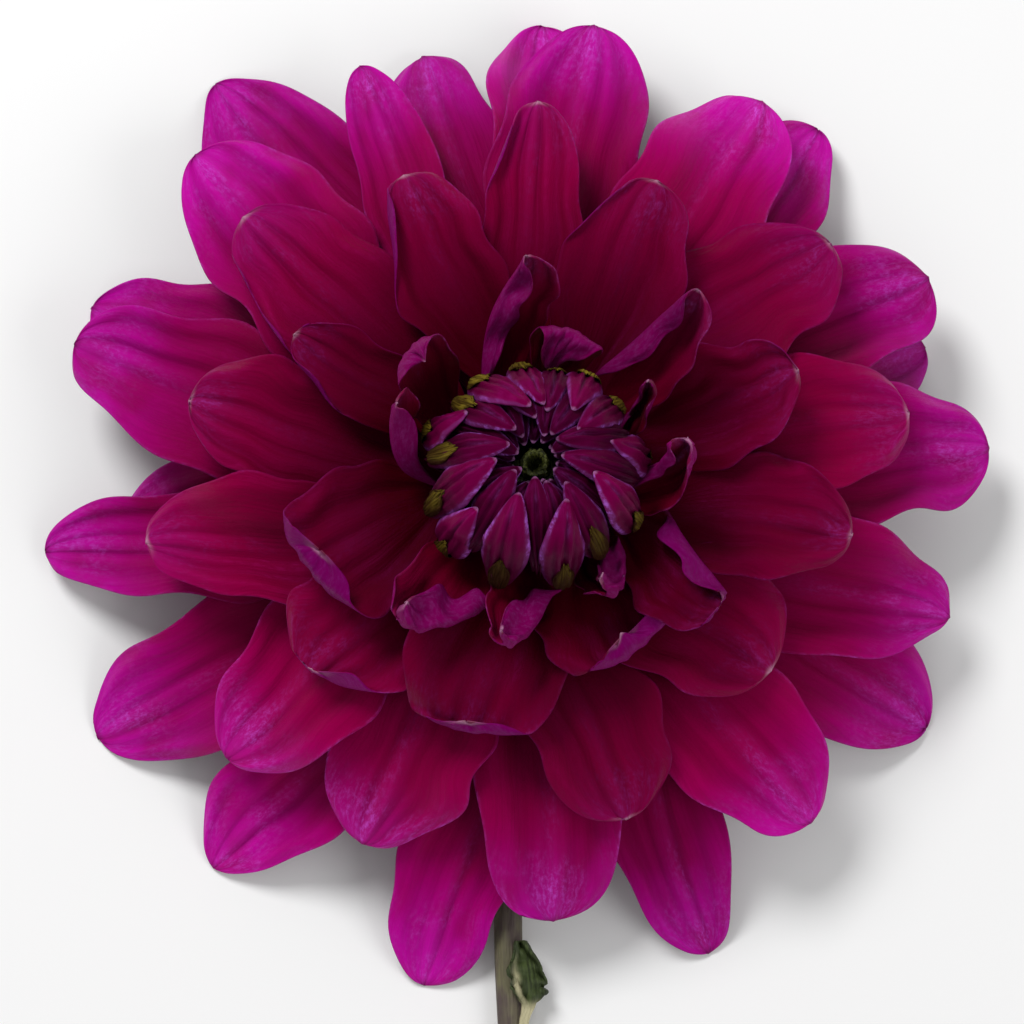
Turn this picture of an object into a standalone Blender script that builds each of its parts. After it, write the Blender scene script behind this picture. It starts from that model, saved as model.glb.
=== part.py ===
"""A cut dahlia flower, as picked: it lies on its back petals and its stem, and the head faces up.

Lengths in the tables are millimetres and angles are degrees; the meshes are in metres, +Z up. The head
stands on a round receptacle. Every open petal starts on that receptacle and is described in rings
round its middle: the distance from the middle, the bearing round the head's axis, and the polar angle
down from that axis. The petals are laid from the back to the front, each one just clear of those
behind it, as they grow.
"""

import math
from typing import NamedTuple

import bmesh
import bpy
import numpy as np

MM = 0.001

# Head
DOME_HEIGHT = 21.0
DOME_RADIUS = 9.5
DOME_TOP = 25.0
DOME_STEPS = 12
CONTACT_GAP = 0.35
RING_POLAR = (102.0, 95.0, 88.0, 81.0, 74.0)

# Open petals
PETAL_THICKNESS = 0.5
LAYER_GAP = 1.05
FOOT_WIDTH = 2.8
FOOT_WRAP = 100.0
TIP_HALF_WIDTH = 0.25
LEAN_SHARE = 0.85
FINE_ROWS = 81
FINE_COLUMNS = 49
MESH_ROWS = 8
MESH_COLUMNS = 4

# Where a petal's shape changes, as shares of its length from the foot, and of its half width
WRAP_SETTLES = 0.25
BEND_STARTS = 0.45
ROLL_SETTLES = 0.5
WIDEST_AT = 0.6
TURN_STARTS = 0.72
TIP_STARTS = 0.75
MARGIN_STARTS = 0.7

# How fast a petal widens, narrows, droops and bends, and how much flatter it is at its tip
WIDENING = 1.5
NARROWING = 2.2
DROOPING = 1.35
BENDING = 1.3
TIP_FLATTENING = 0.35
LEAST_ANGLE = 0.3

# Rings round the middle of the receptacle that hold the petals laid so far
RING_STEP = 0.75
RING_START = 9.0
RING_COUNT = 90
EDGE_MARGIN = 0.5
FLOOR_CLEARANCE = 0.05
PUSH_REACH = (7, 9)
SMOOTHING_REACHES = ((4, 5), (3, 4))

# Stem and leaf
STEM_RADIUS = 1.85
STEM_AXIS_HEIGHT = 1.76
NECK_RADIUS = 2.5
STEM_ROUTE = (
    (0.0, 0.0, 11.1),
    (0.0, -0.2, 9.4),
    (-0.1, -1.6, 7.2),
    (-0.3, -4.4, 4.4),
    (-0.8, -9.0, 2.4),
    (-1.4, -15.0, 1.77),
    (-2.6, -30.0, STEM_AXIS_HEIGHT),
    (-3.2, -45.0, STEM_AXIS_HEIGHT),
    (-3.2, -58.0, STEM_AXIS_HEIGHT),
    (-2.6, -72.0, STEM_AXIS_HEIGHT),
    (-2.2, -86.0, STEM_AXIS_HEIGHT),
    (-2.6, -98.0, STEM_AXIS_HEIGHT),
)
STEM_STEPS = 34
SAMPLES_PER_STEP = 20
NECK_STEPS = 4
LEAF_THICKNESS = 0.5
LEAF_SPINE = (
    (-0.3, -68.8, 2.6),
    (-0.1, -65.8, 2.9),
    (-0.4, -62.6, 3.6),
    (-0.9, -59.0, 4.0),
    (-1.6, -55.6, 4.3),
)
LEAF_HALF_WIDTHS = (0.35, 0.4, 2.3, 2.9, 1.1)
LEAF_ROWS = 9
LEAF_COLUMNS = 3
LEAF_TILT = 0.45
LEAF_CRUMPLE = 0.35
LEAF_WAVES = (9.0, 2.0)

# Button of closed florets and calyx: radius and height of their turned outlines, outside then inside
BUTTON_PROFILE = (
    (0.0, 43.0), (1.5, 44.0), (3.2, 44.8), (6.6, 44.6), (10.0, 43.0), (12.5, 40.3), (13.5, 37.2),
    (12.9, 34.6), (10.6, 31.6), (8.0, 28.6), (6.2, 25.4), (0.0, 25.4),
)
BUTTON_OFFSET = -0.8
CALYX_POLARS = (111.0, 122.0, 133.0, 144.0, 156.0)
CALYX_WALL = 1.0
CALYX_NECK = 3.1
CALYX_COLLAR = 2.0
TURN_STEPS = 20
TURN_MERGE = 0.01


class Petal(NamedTuple):
    """One open petal: where its tip is, how wide it grows and how it curls."""

    name: str
    bearing: float
    reach: float
    height: float
    width: float
    ring: int
    wrap: float
    arch: float = 2.0
    bend: float = 0.0
    roll: float = 0.0
    turn: float = 0.0
    sharpness: float = 0.62


# The petals from back to front. bearing is anticlockwise from +X, reach and height place the tip, ring
# is the ring of the receptacle that it grows from, and wrap is how far its width curls towards the
# axis. arch lifts the middle of its length, bend moves the tip anticlockwise, roll curls the margin on
# that side, turn curls the tip, and sharpness runs from a blunt tip to a pointed one.
PETALS = (
    Petal("outer_petal_01", 54.0, 62.0, 2.5, 16.0, 0, 40.0),
    Petal("outer_petal_02", 23.0, 55.0, 0.0, 15.0, 0, 40.0),
    Petal("outer_petal_03", 329.5, 57.5, 0.0, 18.0, 0, 40.0, bend=1.0),
    Petal("outer_petal_04", 289.0, 61.0, 0.0, 15.0, 0, 40.0, bend=2.0),
    Petal("outer_petal_05", 257.0, 62.5, 0.0, 16.0, 0, 40.0),
    Petal("outer_petal_06", 228.5, 61.5, 0.0, 17.0, 0, 40.0, sharpness=0.7),
    Petal("outer_petal_07", 206.5, 63.0, 0.0, 19.0, 0, 40.0, bend=2.0),
    Petal("outer_petal_08", 178.5, 53.0, 2.0, 14.0, 0, 40.0, bend=3.0),
    Petal("outer_petal_09", 187.5, 63.0, 2.5, 14.0, 0, 40.0, bend=-2.5),
    Petal("outer_petal_10", 156.5, 63.0, 0.0, 16.0, 0, 40.0, bend=-1.0),
    Petal("outer_petal_11", 127.0, 70.0, 0.0, 19.5, 0, 40.0, bend=-1.0, sharpness=0.75),
    Petal("outer_petal_12", 105.0, 61.0, 3.0, 16.5, 0, 40.0, bend=-1.0),
    Petal("outer_petal_13", 89.0, 64.0, 0.0, 17.0, 0, 40.0),
    Petal("outer_petal_14", 112.0, 60.5, 11.0, 11.0, 1, 55.0, sharpness=0.7),
    Petal("outer_petal_15", 84.0, 62.5, 9.0, 19.5, 1, 40.0, bend=-1.0),
    Petal("outer_petal_16", 61.0, 59.5, 10.0, 19.0, 1, 40.0, bend=-0.5),
    Petal("outer_petal_17", 7.0, 58.5, 8.0, 18.5, 1, 40.0, sharpness=0.58),
    Petal("outer_petal_18", 33.0, 58.0, 10.0, 18.5, 1, 40.0, bend=-3.0),
    Petal("outer_petal_19", 342.0, 54.8, 9.0, 18.5, 1, 40.0, bend=2.0, sharpness=0.8),
    Petal("outer_petal_20", 310.0, 54.0, 11.0, 19.0, 1, 40.0),
    Petal("outer_petal_21", 274.0, 53.5, 9.0, 20.0, 1, 40.0, bend=-1.0),
    Petal("outer_petal_22", 244.0, 49.0, 12.0, 20.0, 1, 45.0),
    Petal("outer_petal_23", 221.0, 51.0, 13.0, 19.0, 1, 45.0),
    Petal("outer_petal_24", 161.5, 62.0, 10.0, 19.0, 1, 40.0),
    Petal("outer_petal_25", 134.0, 62.0, 12.0, 20.0, 1, 40.0),
    Petal("middle_petal_01", 12.0, 48.0, 19.0, 18.0, 2, 45.0, arch=3.0),
    Petal("middle_petal_02", 40.0, 48.5, 21.0, 18.0, 2, 45.0, arch=3.0),
    Petal("middle_petal_03", 137.5, 50.0, 22.0, 17.5, 2, 45.0, arch=3.0, roll=60.0),
    Petal("middle_petal_04", 168.0, 44.3, 24.0, 17.0, 2, 45.0, arch=3.0, bend=-1.5),
    Petal("middle_petal_05", 190.5, 49.0, 20.0, 16.0, 2, 45.0, arch=3.0, bend=-1.5),
    Petal("middle_petal_06", 286.5, 43.0, 18.0, 18.0, 2, 55.0, arch=3.0, bend=-1.0),
    Petal("middle_petal_07", 322.0, 37.5, 22.0, 20.0, 2, 55.0, arch=3.0),
    Petal("middle_petal_08", 352.0, 40.0, 24.0, 16.5, 2, 45.0, arch=3.0, bend=-0.5),
    Petal("middle_petal_09", 90.0, 48.5, 24.0, 13.0, 2, 60.0, arch=3.0, roll=60.0),
    Petal("middle_petal_10", 68.0, 40.5, 28.0, 16.0, 3, 55.0, roll=60.0),
    Petal("middle_petal_11", 115.0, 41.5, 28.0, 14.5, 3, 55.0, bend=-1.5, roll=70.0),
    Petal("middle_petal_12", 152.0, 34.5, 31.0, 10.5, 3, 55.0, bend=-1.0, roll=60.0),
    Petal("middle_petal_13", 221.0, 36.5, 25.0, 20.0, 3, 45.0, sharpness=0.5),
    Petal("middle_petal_14", 21.0, 35.0, 31.0, 15.0, 3, 50.0),
    Petal("middle_petal_15", 255.0, 34.0, 26.0, 21.5, 3, 45.0, turn=60.0, sharpness=0.45),
    Petal("middle_petal_16", 203.0, 32.5, 33.0, 19.0, 3, 45.0, turn=40.0, sharpness=0.5),
    Petal("middle_petal_17", 297.0, 27.0, 31.0, 20.0, 3, 50.0, turn=60.0, sharpness=0.45),
    Petal("middle_petal_18", 324.0, 27.5, 33.0, 14.0, 3, 55.0, roll=60.0),
    Petal("inner_petal_01", 47.0, 29.0, 41.0, 11.0, 4, 110.0, arch=1.0),
    Petal("inner_petal_02", 100.0, 25.0, 43.0, 8.0, 4, 110.0, arch=1.0, bend=-3.0, sharpness=0.8),
    Petal("inner_petal_03", 236.0, 25.0, 37.0, 15.0, 4, 80.0, arch=1.0, turn=60.0),
    Petal("inner_petal_04", 266.0, 23.0, 37.0, 11.0, 4, 110.0, arch=1.0, turn=60.0),
    Petal("inner_petal_05", 138.0, 21.0, 43.0, 10.0, 4, 130.0, arch=1.0, turn=60.0),
    Petal("inner_petal_06", 175.0, 18.0, 44.0, 9.0, 4, 110.0, arch=1.0, bend=-4.0, sharpness=0.8),
    Petal("inner_petal_07", 308.0, 17.5, 37.0, 8.0, 4, 120.0, arch=1.0),
    Petal("inner_petal_08", 3.0, 17.5, 42.0, 9.0, 4, 180.0, arch=1.0),
    Petal("inner_petal_09", 76.0, 17.5, 42.0, 8.0, 4, 120.0, arch=1.0, bend=-1.5),
    Petal("inner_petal_10", 35.0, 17.0, 42.0, 6.0, 4, 120.0, arch=1.0),
)

# Colour, roughness
FINISHES = {
    "outer_petal": ((0.38, 0.0, 0.17, 1.0), 0.45),
    "middle_petal": ((0.22, 0.0, 0.07, 1.0), 0.45),
    "inner_petal": ((0.17, 0.005, 0.10, 1.0), 0.5),
    "closed_florets": ((0.15, 0.01, 0.10, 1.0), 0.55),
    "receptacle": ((0.22, 0.27, 0.10, 1.0), 0.6),
    "calyx": ((0.09, 0.16, 0.04, 1.0), 0.6),
    "stem": ((0.15, 0.14, 0.08, 1.0), 0.55),
    "stem_leaf": ((0.05, 0.08, 0.02, 1.0), 0.6),
}


def ease(x):
    """Smooth step from 0 to 1."""
    x = np.clip(x, 0.0, 1.0)
    return x * x * (3.0 - 2.0 * x)


def running_sum(values, places):
    """Integral along the last axis of values given at these places."""
    strips = 0.5 * (values[..., 1:] + values[..., :-1]) * np.diff(places)
    start = np.zeros(values.shape[:-1] + (1,))
    return np.concatenate([start, np.cumsum(strips, axis=-1)], axis=-1)


def spread_roots(petals):
    """Bearing of each petal's root: the petals of a ring stand evenly round the receptacle."""
    roots = {}
    for ring in range(len(RING_POLAR)):
        members = sorted((petal for petal in petals if petal.ring == ring), key=lambda p: p.bearing)
        pitch = 360.0 / len(members)
        start = sum(petal.bearing - pitch * k for k, petal in enumerate(members)) / len(members)
        for k, petal in enumerate(members):
            roots[petal.name] = start + pitch * k
    return roots


def rows_along():
    """Shares of the petal's length where its rows lie: closer together towards the tip."""
    run = np.linspace(0.0, 1.0, FINE_ROWS)
    return 1.0 - 0.5 * (1.0 - run) ** 2 - 0.5 * (1.0 - run ** 1.3) ** 2


def half_widths(petal, t):
    """Half the petal's width along it: a narrow foot, widest past the middle, then a rounded tip."""
    foot = FOOT_WIDTH / petal.width
    growing = foot + (1.0 - foot) * np.sin(0.5 * math.pi * np.clip(t / WIDEST_AT, 0.0, 1.0)) ** WIDENING
    past = np.clip((t - WIDEST_AT) / (1.0 - WIDEST_AT), 0.0, 1.0)
    closing = (1.0 - past ** NARROWING) ** petal.sharpness
    return np.maximum(0.5 * petal.width * growing * closing, TIP_HALF_WIDTH)


def free_shape(petal, root_bearing):
    """Distance, bearing and polar angle of the petal's middle surface, before it is laid."""
    t = rows_along()
    s = np.linspace(-1.0, 1.0, FINE_COLUMNS)
    root_ring = DOME_RADIUS + CONTACT_GAP
    rise = petal.height - DOME_HEIGHT
    length = math.hypot(petal.reach, rise) - root_ring
    tip_polar = math.atan2(petal.reach, rise)
    root_polar = math.radians(RING_POLAR[petal.ring])

    # Along the petal: out from the receptacle, with the tip curling towards the axis
    turn = math.radians(petal.turn) * ease((t - TURN_STARTS) / (1.0 - TURN_STARTS))
    out = root_ring + length * running_sum(np.cos(turn), t)
    lifted = length * running_sum(np.sin(turn), t) + petal.arch * 4.0 * t * (1.0 - t)
    polar = root_polar + (tip_polar - root_polar) * t ** DROOPING

    # Across the petal: the margins curl towards the axis
    wrap = FOOT_WRAP + (petal.wrap - FOOT_WRAP) * ease(t / WRAP_SETTLES)
    wrap = np.radians(wrap * (1.0 - TIP_FLATTENING * ease((t - TIP_STARTS) / (1.0 - TIP_STARTS))))
    rolled = math.radians(petal.roll) * ease((s - MARGIN_STARTS) / (1.0 - MARGIN_STARTS))
    slope = 0.5 * wrap[:, None] * s + rolled * ease(t / ROLL_SETTLES)[:, None]
    half = half_widths(petal, t)[:, None]
    middle = FINE_COLUMNS // 2
    across = running_sum(np.cos(slope), s)
    raised = running_sum(np.sin(slope), s)
    across = (across - across[:, middle:middle + 1]) * half
    raised = (raised - raised[:, middle:middle + 1]) * half

    distance = out[:, None] - raised * np.sin(turn)[:, None]
    angle = polar[:, None] - (lifted[:, None] + raised * np.cos(turn)[:, None]) / distance
    lean = math.radians(LEAN_SHARE * (root_bearing - petal.bearing))
    bent = petal.bend * ease((t - BEND_STARTS) / (1.0 - BEND_STARTS)) ** BENDING
    radius = distance * np.sin(np.maximum(angle, LEAST_ANGLE))
    bearing = math.radians(petal.bearing) + lean * ((1.0 - t) ** 2)[:, None]
    bearing = bearing + (across + bent[:, None]) / radius
    return distance, bearing, angle


def window(values, reach, pick):
    """Greatest or mean value in a window of this reach round every grid point."""
    for axis in (0, 1):
        edges = [(0, 0), (0, 0)]
        edges[axis] = (reach[axis], reach[axis])
        wide = np.pad(values, edges, mode="edge")
        count = values.shape[axis]
        shifted = [np.take(wide, np.arange(k, k + count), axis) for k in range(2 * reach[axis] + 1)]
        values = pick(np.stack(shifted), axis=0)
    return values


def finer(values):
    """The same grid with a new point halfway between all neighbours."""
    for _ in range(2):
        doubled = np.repeat(values, 2, axis=0)[:-1]
        doubled[1::2] = 0.5 * (values[1:] + values[:-1])
        values = doubled.T
    return values


def ring_cell(distance, bearing):
    """Row and column of the support map for these places."""
    row = np.clip(np.rint((distance - RING_START) / RING_STEP).astype(int), 0, RING_COUNT - 1)
    return row, np.rint(np.degrees(bearing)).astype(int) % 360


def floor_support():
    """Polar angle of the surface that the flower lies on, for every cell of the support map."""
    rings = RING_START + RING_STEP * np.arange(RING_COUNT)
    lowest = 0.5 * PETAL_THICKNESS + FLOOR_CLEARANCE
    angle = np.arccos(np.clip((lowest - DOME_HEIGHT) / rings, -1.0, 1.0)) + LAYER_GAP / rings
    return np.repeat(angle[:, None], 360, axis=1)


def lay_petals(petals):
    """Points of every petal's middle surface, each petal laid on those behind it."""
    roots = spread_roots(petals)
    support = floor_support()
    surfaces = {}
    for petal in petals:
        distance, bearing, angle = free_shape(petal, roots[petal.name])
        limit = support[ring_cell(distance, bearing)] - LAYER_GAP / distance
        push = window(np.maximum(angle - limit, 0.0) * distance, PUSH_REACH, np.max)
        for reach in SMOOTHING_REACHES:
            push = window(push, reach, np.mean)
        angle = angle - push / distance
        surfaces[petal.name] = np.stack([
            distance * np.sin(angle) * np.cos(bearing),
            distance * np.sin(angle) * np.sin(bearing),
            DOME_HEIGHT + distance * np.cos(angle),
        ], axis=-1)
        place = finer(distance)
        polar = finer(angle)
        row, column = ring_cell(place, finer(bearing))
        margin = np.maximum(1, np.rint(np.degrees(EDGE_MARGIN / (place * np.sin(polar))))).astype(int)
        for step in (-1, 0, 1):
            for side in (-1, 0, 1):
                cell = (np.clip(row + step, 0, RING_COUNT - 1), (column + side * margin) % 360)
                np.minimum.at(support, cell, polar)
    return surfaces


def clear_scene():
    """Remove every object of the scene."""
    for item in list(bpy.data.objects):
        bpy.data.objects.remove(item, do_unlink=True)


def make_material(name):
    """Principled material with the part's colour and roughness."""
    colour, roughness = FINISHES[name]
    material = bpy.data.materials.new(name)
    material.use_nodes = True
    shader = material.node_tree.nodes["Principled BSDF"]
    shader.inputs["Base Color"].default_value = colour
    shader.inputs["Roughness"].default_value = roughness
    shader.inputs["Metallic"].default_value = 0.0
    material.diffuse_color = colour
    return material


def add_object(name, data, material, parent):
    """Object of the flower's collection that holds this mesh or curve."""
    data.materials.append(material)
    item = bpy.data.objects.new(name, data)
    item.parent = parent
    parent.users_collection[0].objects.link(item)
    return item


def sheet_object(name, points, thickness, material, parent):
    """Thin closed sheet: a grid whose corners follow these rows and columns of points."""
    rows = points.shape[0] - 1
    columns = points.shape[1] - 1
    shape = bmesh.new()
    bmesh.ops.create_grid(shape, x_segments=rows, y_segments=columns, size=1.0)
    for corner in shape.verts:
        row = round(0.5 * (corner.co.x + 1.0) * rows)
        column = round(0.5 * (corner.co.y + 1.0) * columns)
        corner.co = points[row, column] * MM
    mesh = bpy.data.meshes.new(name)
    shape.to_mesh(mesh)
    shape.free()
    mesh.shade_smooth()
    item = add_object(name, mesh, material, parent)
    shell = item.modifiers.new("thickness", "SOLIDIFY")
    shell.thickness = thickness * MM
    shell.offset = 0.0
    return item


def turned_object(name, profile, material, parent):
    """Turned solid: an outline of radius and height, carried round the head's axis."""
    shape = bmesh.new()
    corners = [shape.verts.new((radius * MM, 0.0, height * MM)) for radius, height in profile]
    for start, end in zip(corners, corners[1:]):
        shape.edges.new((start, end))
    mesh = bpy.data.meshes.new(name)
    shape.to_mesh(mesh)
    shape.free()
    item = add_object(name, mesh, material, parent)
    turning = item.modifiers.new("turning", "SCREW")
    turning.steps = TURN_STEPS
    turning.render_steps = TURN_STEPS
    turning.use_merge_vertices = True
    turning.merge_threshold = TURN_MERGE * MM
    turning.use_smooth_shade = True
    return item


def make_petals(parent):
    """Every open petal, in three rows from the outside in."""
    rows = {}
    for row_name in ("outer_petal", "middle_petal", "inner_petal"):
        rows[row_name] = make_material(row_name)
    row_picks = np.arange(0, FINE_ROWS, (FINE_ROWS - 1) // MESH_ROWS)
    column_picks = np.arange(0, FINE_COLUMNS, (FINE_COLUMNS - 1) // MESH_COLUMNS)
    for name, points in lay_petals(PETALS).items():
        coarse = points[np.ix_(row_picks, column_picks)]
        sheet_object(name, coarse, PETAL_THICKNESS, rows[name[:-3]], parent)


def make_button(parent):
    """Dome of the closed florets, with the pit in its middle."""
    button = turned_object("closed_florets", BUTTON_PROFILE, make_material("closed_florets"), parent)
    button.location.y = BUTTON_OFFSET * MM


def make_receptacle(parent):
    """Round fleshy dome that carries every floret, flat where the button stands on it."""
    top_polar = math.degrees(math.acos((DOME_TOP - DOME_HEIGHT) / DOME_RADIUS))
    profile = [(0.0, DOME_TOP)]
    for polar in np.radians(np.linspace(top_polar, 180.0, DOME_STEPS)):
        profile.append((DOME_RADIUS * math.sin(polar), DOME_HEIGHT + DOME_RADIUS * math.cos(polar)))
    profile[-1] = (0.0, DOME_HEIGHT - DOME_RADIUS)
    turned_object("receptacle", profile, make_material("receptacle"), parent)


def make_calyx(parent):
    """Green cup of bracts that wraps the lower half of the receptacle."""
    inner = DOME_RADIUS + CONTACT_GAP
    outside = []
    inside = []
    for polar in np.radians(CALYX_POLARS):
        outside.append(((inner + CALYX_WALL) * math.sin(polar),
                        DOME_HEIGHT + (inner + CALYX_WALL) * math.cos(polar)))
        inside.append((inner * math.sin(polar), DOME_HEIGHT + inner * math.cos(polar)))
    foot = STEM_ROUTE[0][2] - CALYX_COLLAR
    collar = [(CALYX_NECK + CALYX_WALL, foot), (CALYX_NECK, foot)]
    profile = outside + collar + inside[::-1] + outside[:1]
    turned_object("calyx", profile, make_material("calyx"), parent)


def smooth_route(route, steps):
    """Evenly spread points of a Catmull-Rom curve through the route."""
    route = np.array(route)
    ends = np.vstack([2.0 * route[0] - route[1], route, 2.0 * route[-1] - route[-2]])
    places = np.linspace(0.0, len(route) - 1.0, SAMPLES_PER_STEP * steps)
    span = np.minimum(places.astype(int), len(route) - 2)
    u = (places - span)[:, None]
    before, start, end, after = (ends[span + k] for k in range(4))
    curve = 0.5 * (2.0 * start + (end - before) * u
                   + (2.0 * before - 5.0 * start + 4.0 * end - after) * u ** 2
                   + (3.0 * start - before - 3.0 * end + after) * u ** 3)
    lengths = np.concatenate([[0.0], np.cumsum(np.linalg.norm(np.diff(curve, axis=0), axis=1))])
    wanted = np.linspace(0.0, lengths[-1], steps)
    return np.stack([np.interp(wanted, lengths, curve[:, axis]) for axis in range(3)], axis=-1)


def make_stem(parent):
    """Round stem that lies on the surface and bends up under the head."""
    points = smooth_route(STEM_ROUTE, STEM_STEPS)
    points[:, 2] = np.maximum(points[:, 2], STEM_AXIS_HEIGHT)
    curve = bpy.data.curves.new("stem", "CURVE")
    curve.dimensions = "3D"
    curve.bevel_depth = STEM_RADIUS * MM
    curve.bevel_resolution = 3
    curve.use_fill_caps = True
    spline = curve.splines.new("POLY")
    spline.points.add(len(points) - 1)
    for k, (corner, place) in enumerate(zip(spline.points, points)):
        corner.co = (*(place * MM), 1.0)
        corner.radius = 1.0 + (NECK_RADIUS / STEM_RADIUS - 1.0) * max(0.0, 1.0 - k / NECK_STEPS)
    add_object("stem", curve, make_material("stem"), parent)


def make_leaf(parent):
    """Small crumpled leaf: its stalk leaves the stem's side and its blade lies half over the stem."""
    spine = smooth_route(LEAF_SPINE, LEAF_ROWS + 1)[:, None]
    t = np.linspace(0.0, 1.0, LEAF_ROWS + 1)[:, None]
    s = np.linspace(-1.0, 1.0, LEAF_COLUMNS + 1)
    side = np.interp(t, np.linspace(0.0, 1.0, len(LEAF_SPINE)), LEAF_HALF_WIDTHS) * s
    points = spine + np.zeros_like(side)[..., None]
    points[..., 0] += side
    points[..., 2] += LEAF_CRUMPLE * np.cos(LEAF_WAVES[0] * t + LEAF_WAVES[1] * s) * t - LEAF_TILT * side
    sheet_object("stem_leaf", points, LEAF_THICKNESS, make_material("stem_leaf"), parent)


def rest_on_origin(holder):
    """Move the flower so that the middle of its underside is at the origin."""
    bpy.context.view_layer.update()
    graph = bpy.context.evaluated_depsgraph_get()
    corners = []
    for item in holder.children:
        shown = item.evaluated_get(graph)
        mesh = shown.to_mesh()
        places = np.empty(3 * len(mesh.vertices), dtype=np.float32)
        mesh.vertices.foreach_get("co", places)
        places = places.reshape(-1, 3) + np.array(item.location)
        corners.append(places.min(axis=0))
        corners.append(places.max(axis=0))
        shown.to_mesh_clear()
    low = np.min(corners, axis=0)
    high = np.max(corners, axis=0)
    holder.location = (-0.5 * (low[0] + high[0]), -0.5 * (low[1] + high[1]), -low[2])


def main():
    """Build the whole flower."""
    clear_scene()
    collection = bpy.data.collections.new("dahlia_flower")
    bpy.context.scene.collection.children.link(collection)
    holder = bpy.data.objects.new("flower", None)
    collection.objects.link(holder)
    make_petals(holder)
    make_button(holder)
    make_receptacle(holder)
    make_calyx(holder)
    make_stem(holder)
    make_leaf(holder)
    rest_on_origin(holder)


main()
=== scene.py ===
"""Looks of a cut dahlia flower, as picked: it lies on its back petals and its stem, the head facing up.

Lengths in the tables are millimetres and angles are degrees, in the head's own frame: its axis is the z
axis, z is 0 where the flower lies, and bearings run anticlockwise from +x. A petal is a thin sheet worked
out on a grid of shares: t runs from its foot to its tip, and s from its clockwise margin at -1 to its
anticlockwise margin at 1. The petals are laid from the back to the front, as they grow.
"""

import logging
import math
from dataclasses import dataclass
from enum import Enum

import bpy
import numpy as np
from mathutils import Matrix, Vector

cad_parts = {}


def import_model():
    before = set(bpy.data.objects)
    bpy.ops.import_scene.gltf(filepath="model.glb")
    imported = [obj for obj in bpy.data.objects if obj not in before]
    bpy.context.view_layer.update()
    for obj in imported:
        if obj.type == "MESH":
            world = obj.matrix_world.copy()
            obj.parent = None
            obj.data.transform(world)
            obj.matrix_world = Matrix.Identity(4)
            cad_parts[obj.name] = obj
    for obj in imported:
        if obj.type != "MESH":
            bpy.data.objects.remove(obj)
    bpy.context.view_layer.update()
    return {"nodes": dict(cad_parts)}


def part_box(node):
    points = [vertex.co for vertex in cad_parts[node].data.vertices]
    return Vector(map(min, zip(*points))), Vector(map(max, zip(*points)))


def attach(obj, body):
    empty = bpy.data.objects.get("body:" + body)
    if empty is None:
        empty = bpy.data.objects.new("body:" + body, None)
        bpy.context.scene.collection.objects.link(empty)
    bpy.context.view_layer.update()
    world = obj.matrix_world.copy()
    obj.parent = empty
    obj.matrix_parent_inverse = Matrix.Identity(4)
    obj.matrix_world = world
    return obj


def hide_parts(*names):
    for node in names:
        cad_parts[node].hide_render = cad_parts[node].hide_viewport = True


MM = 0.001
LOG = logging.getLogger("dahlia")
Marks = dict[str, np.ndarray]
Colour = tuple[int, int, int]


def ease(x: np.ndarray) -> np.ndarray:
    """Smooth step: 3x² - 2x³ between 0 and 1, level outside."""
    x = np.clip(x, 0.0, 1.0)
    return x * x * (3.0 - 2.0 * x)


def between(x: np.ndarray, start: float, end: float) -> np.ndarray:
    """Smooth step from 0 at start to 1 at end."""
    return ease((x - start) / (end - start))


def bell(x: np.ndarray, middle: float, width: float) -> np.ndarray:
    """Bell curve of height 1: e to the power of minus the squared distance in widths."""
    return np.exp(-((x - middle) / width) ** 2)


def unit(vectors: np.ndarray) -> np.ndarray:
    """The vectors of the last axis, each divided by its length."""
    return vectors / np.maximum(np.linalg.norm(vectors, axis=-1, keepdims=True), 1e-9)


def running_sum(values: np.ndarray, places: np.ndarray) -> np.ndarray:
    """Integral along the last axis, by the mean height of each strip.

    Args:
        values: heights at the places.
        places: where the values lie.

    Returns:
        The integral up to each place, from 0.
    """
    strips = 0.5 * (values[..., 1:] + values[..., :-1]) * np.diff(places)
    start = np.zeros(values.shape[:-1] + (1,))
    return np.concatenate([start, np.cumsum(strips, axis=-1)], axis=-1)


def finer(values: np.ndarray) -> np.ndarray:
    """The same grid with a new point halfway between all neighbours."""
    for _ in range(2):
        doubled = np.repeat(values, 2, axis=0)[:-1]
        doubled[1::2] = 0.5 * (values[1:] + values[:-1])
        values = doubled.T
    return values


def sample(grid: np.ndarray, rows: np.ndarray, columns: np.ndarray) -> np.ndarray:
    """Values of a grid at places between its points, each the mean of four weighted by nearness.

    Args:
        grid: rows and columns of values.
        rows: row numbers, with fractions.
        columns: column numbers, with fractions.

    Returns:
        One value for each place.
    """
    row = np.clip(rows.astype(int), 0, grid.shape[0] - 2)
    column = np.clip(columns.astype(int), 0, grid.shape[1] - 2)
    down = np.clip(rows - row, 0.0, 1.0)
    right = np.clip(columns - column, 0.0, 1.0)
    upper = (1.0 - right) * grid[row, column] + right * grid[row, column + 1]
    lower = (1.0 - right) * grid[row + 1, column] + right * grid[row + 1, column + 1]
    return (1.0 - down) * upper + down * lower


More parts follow.
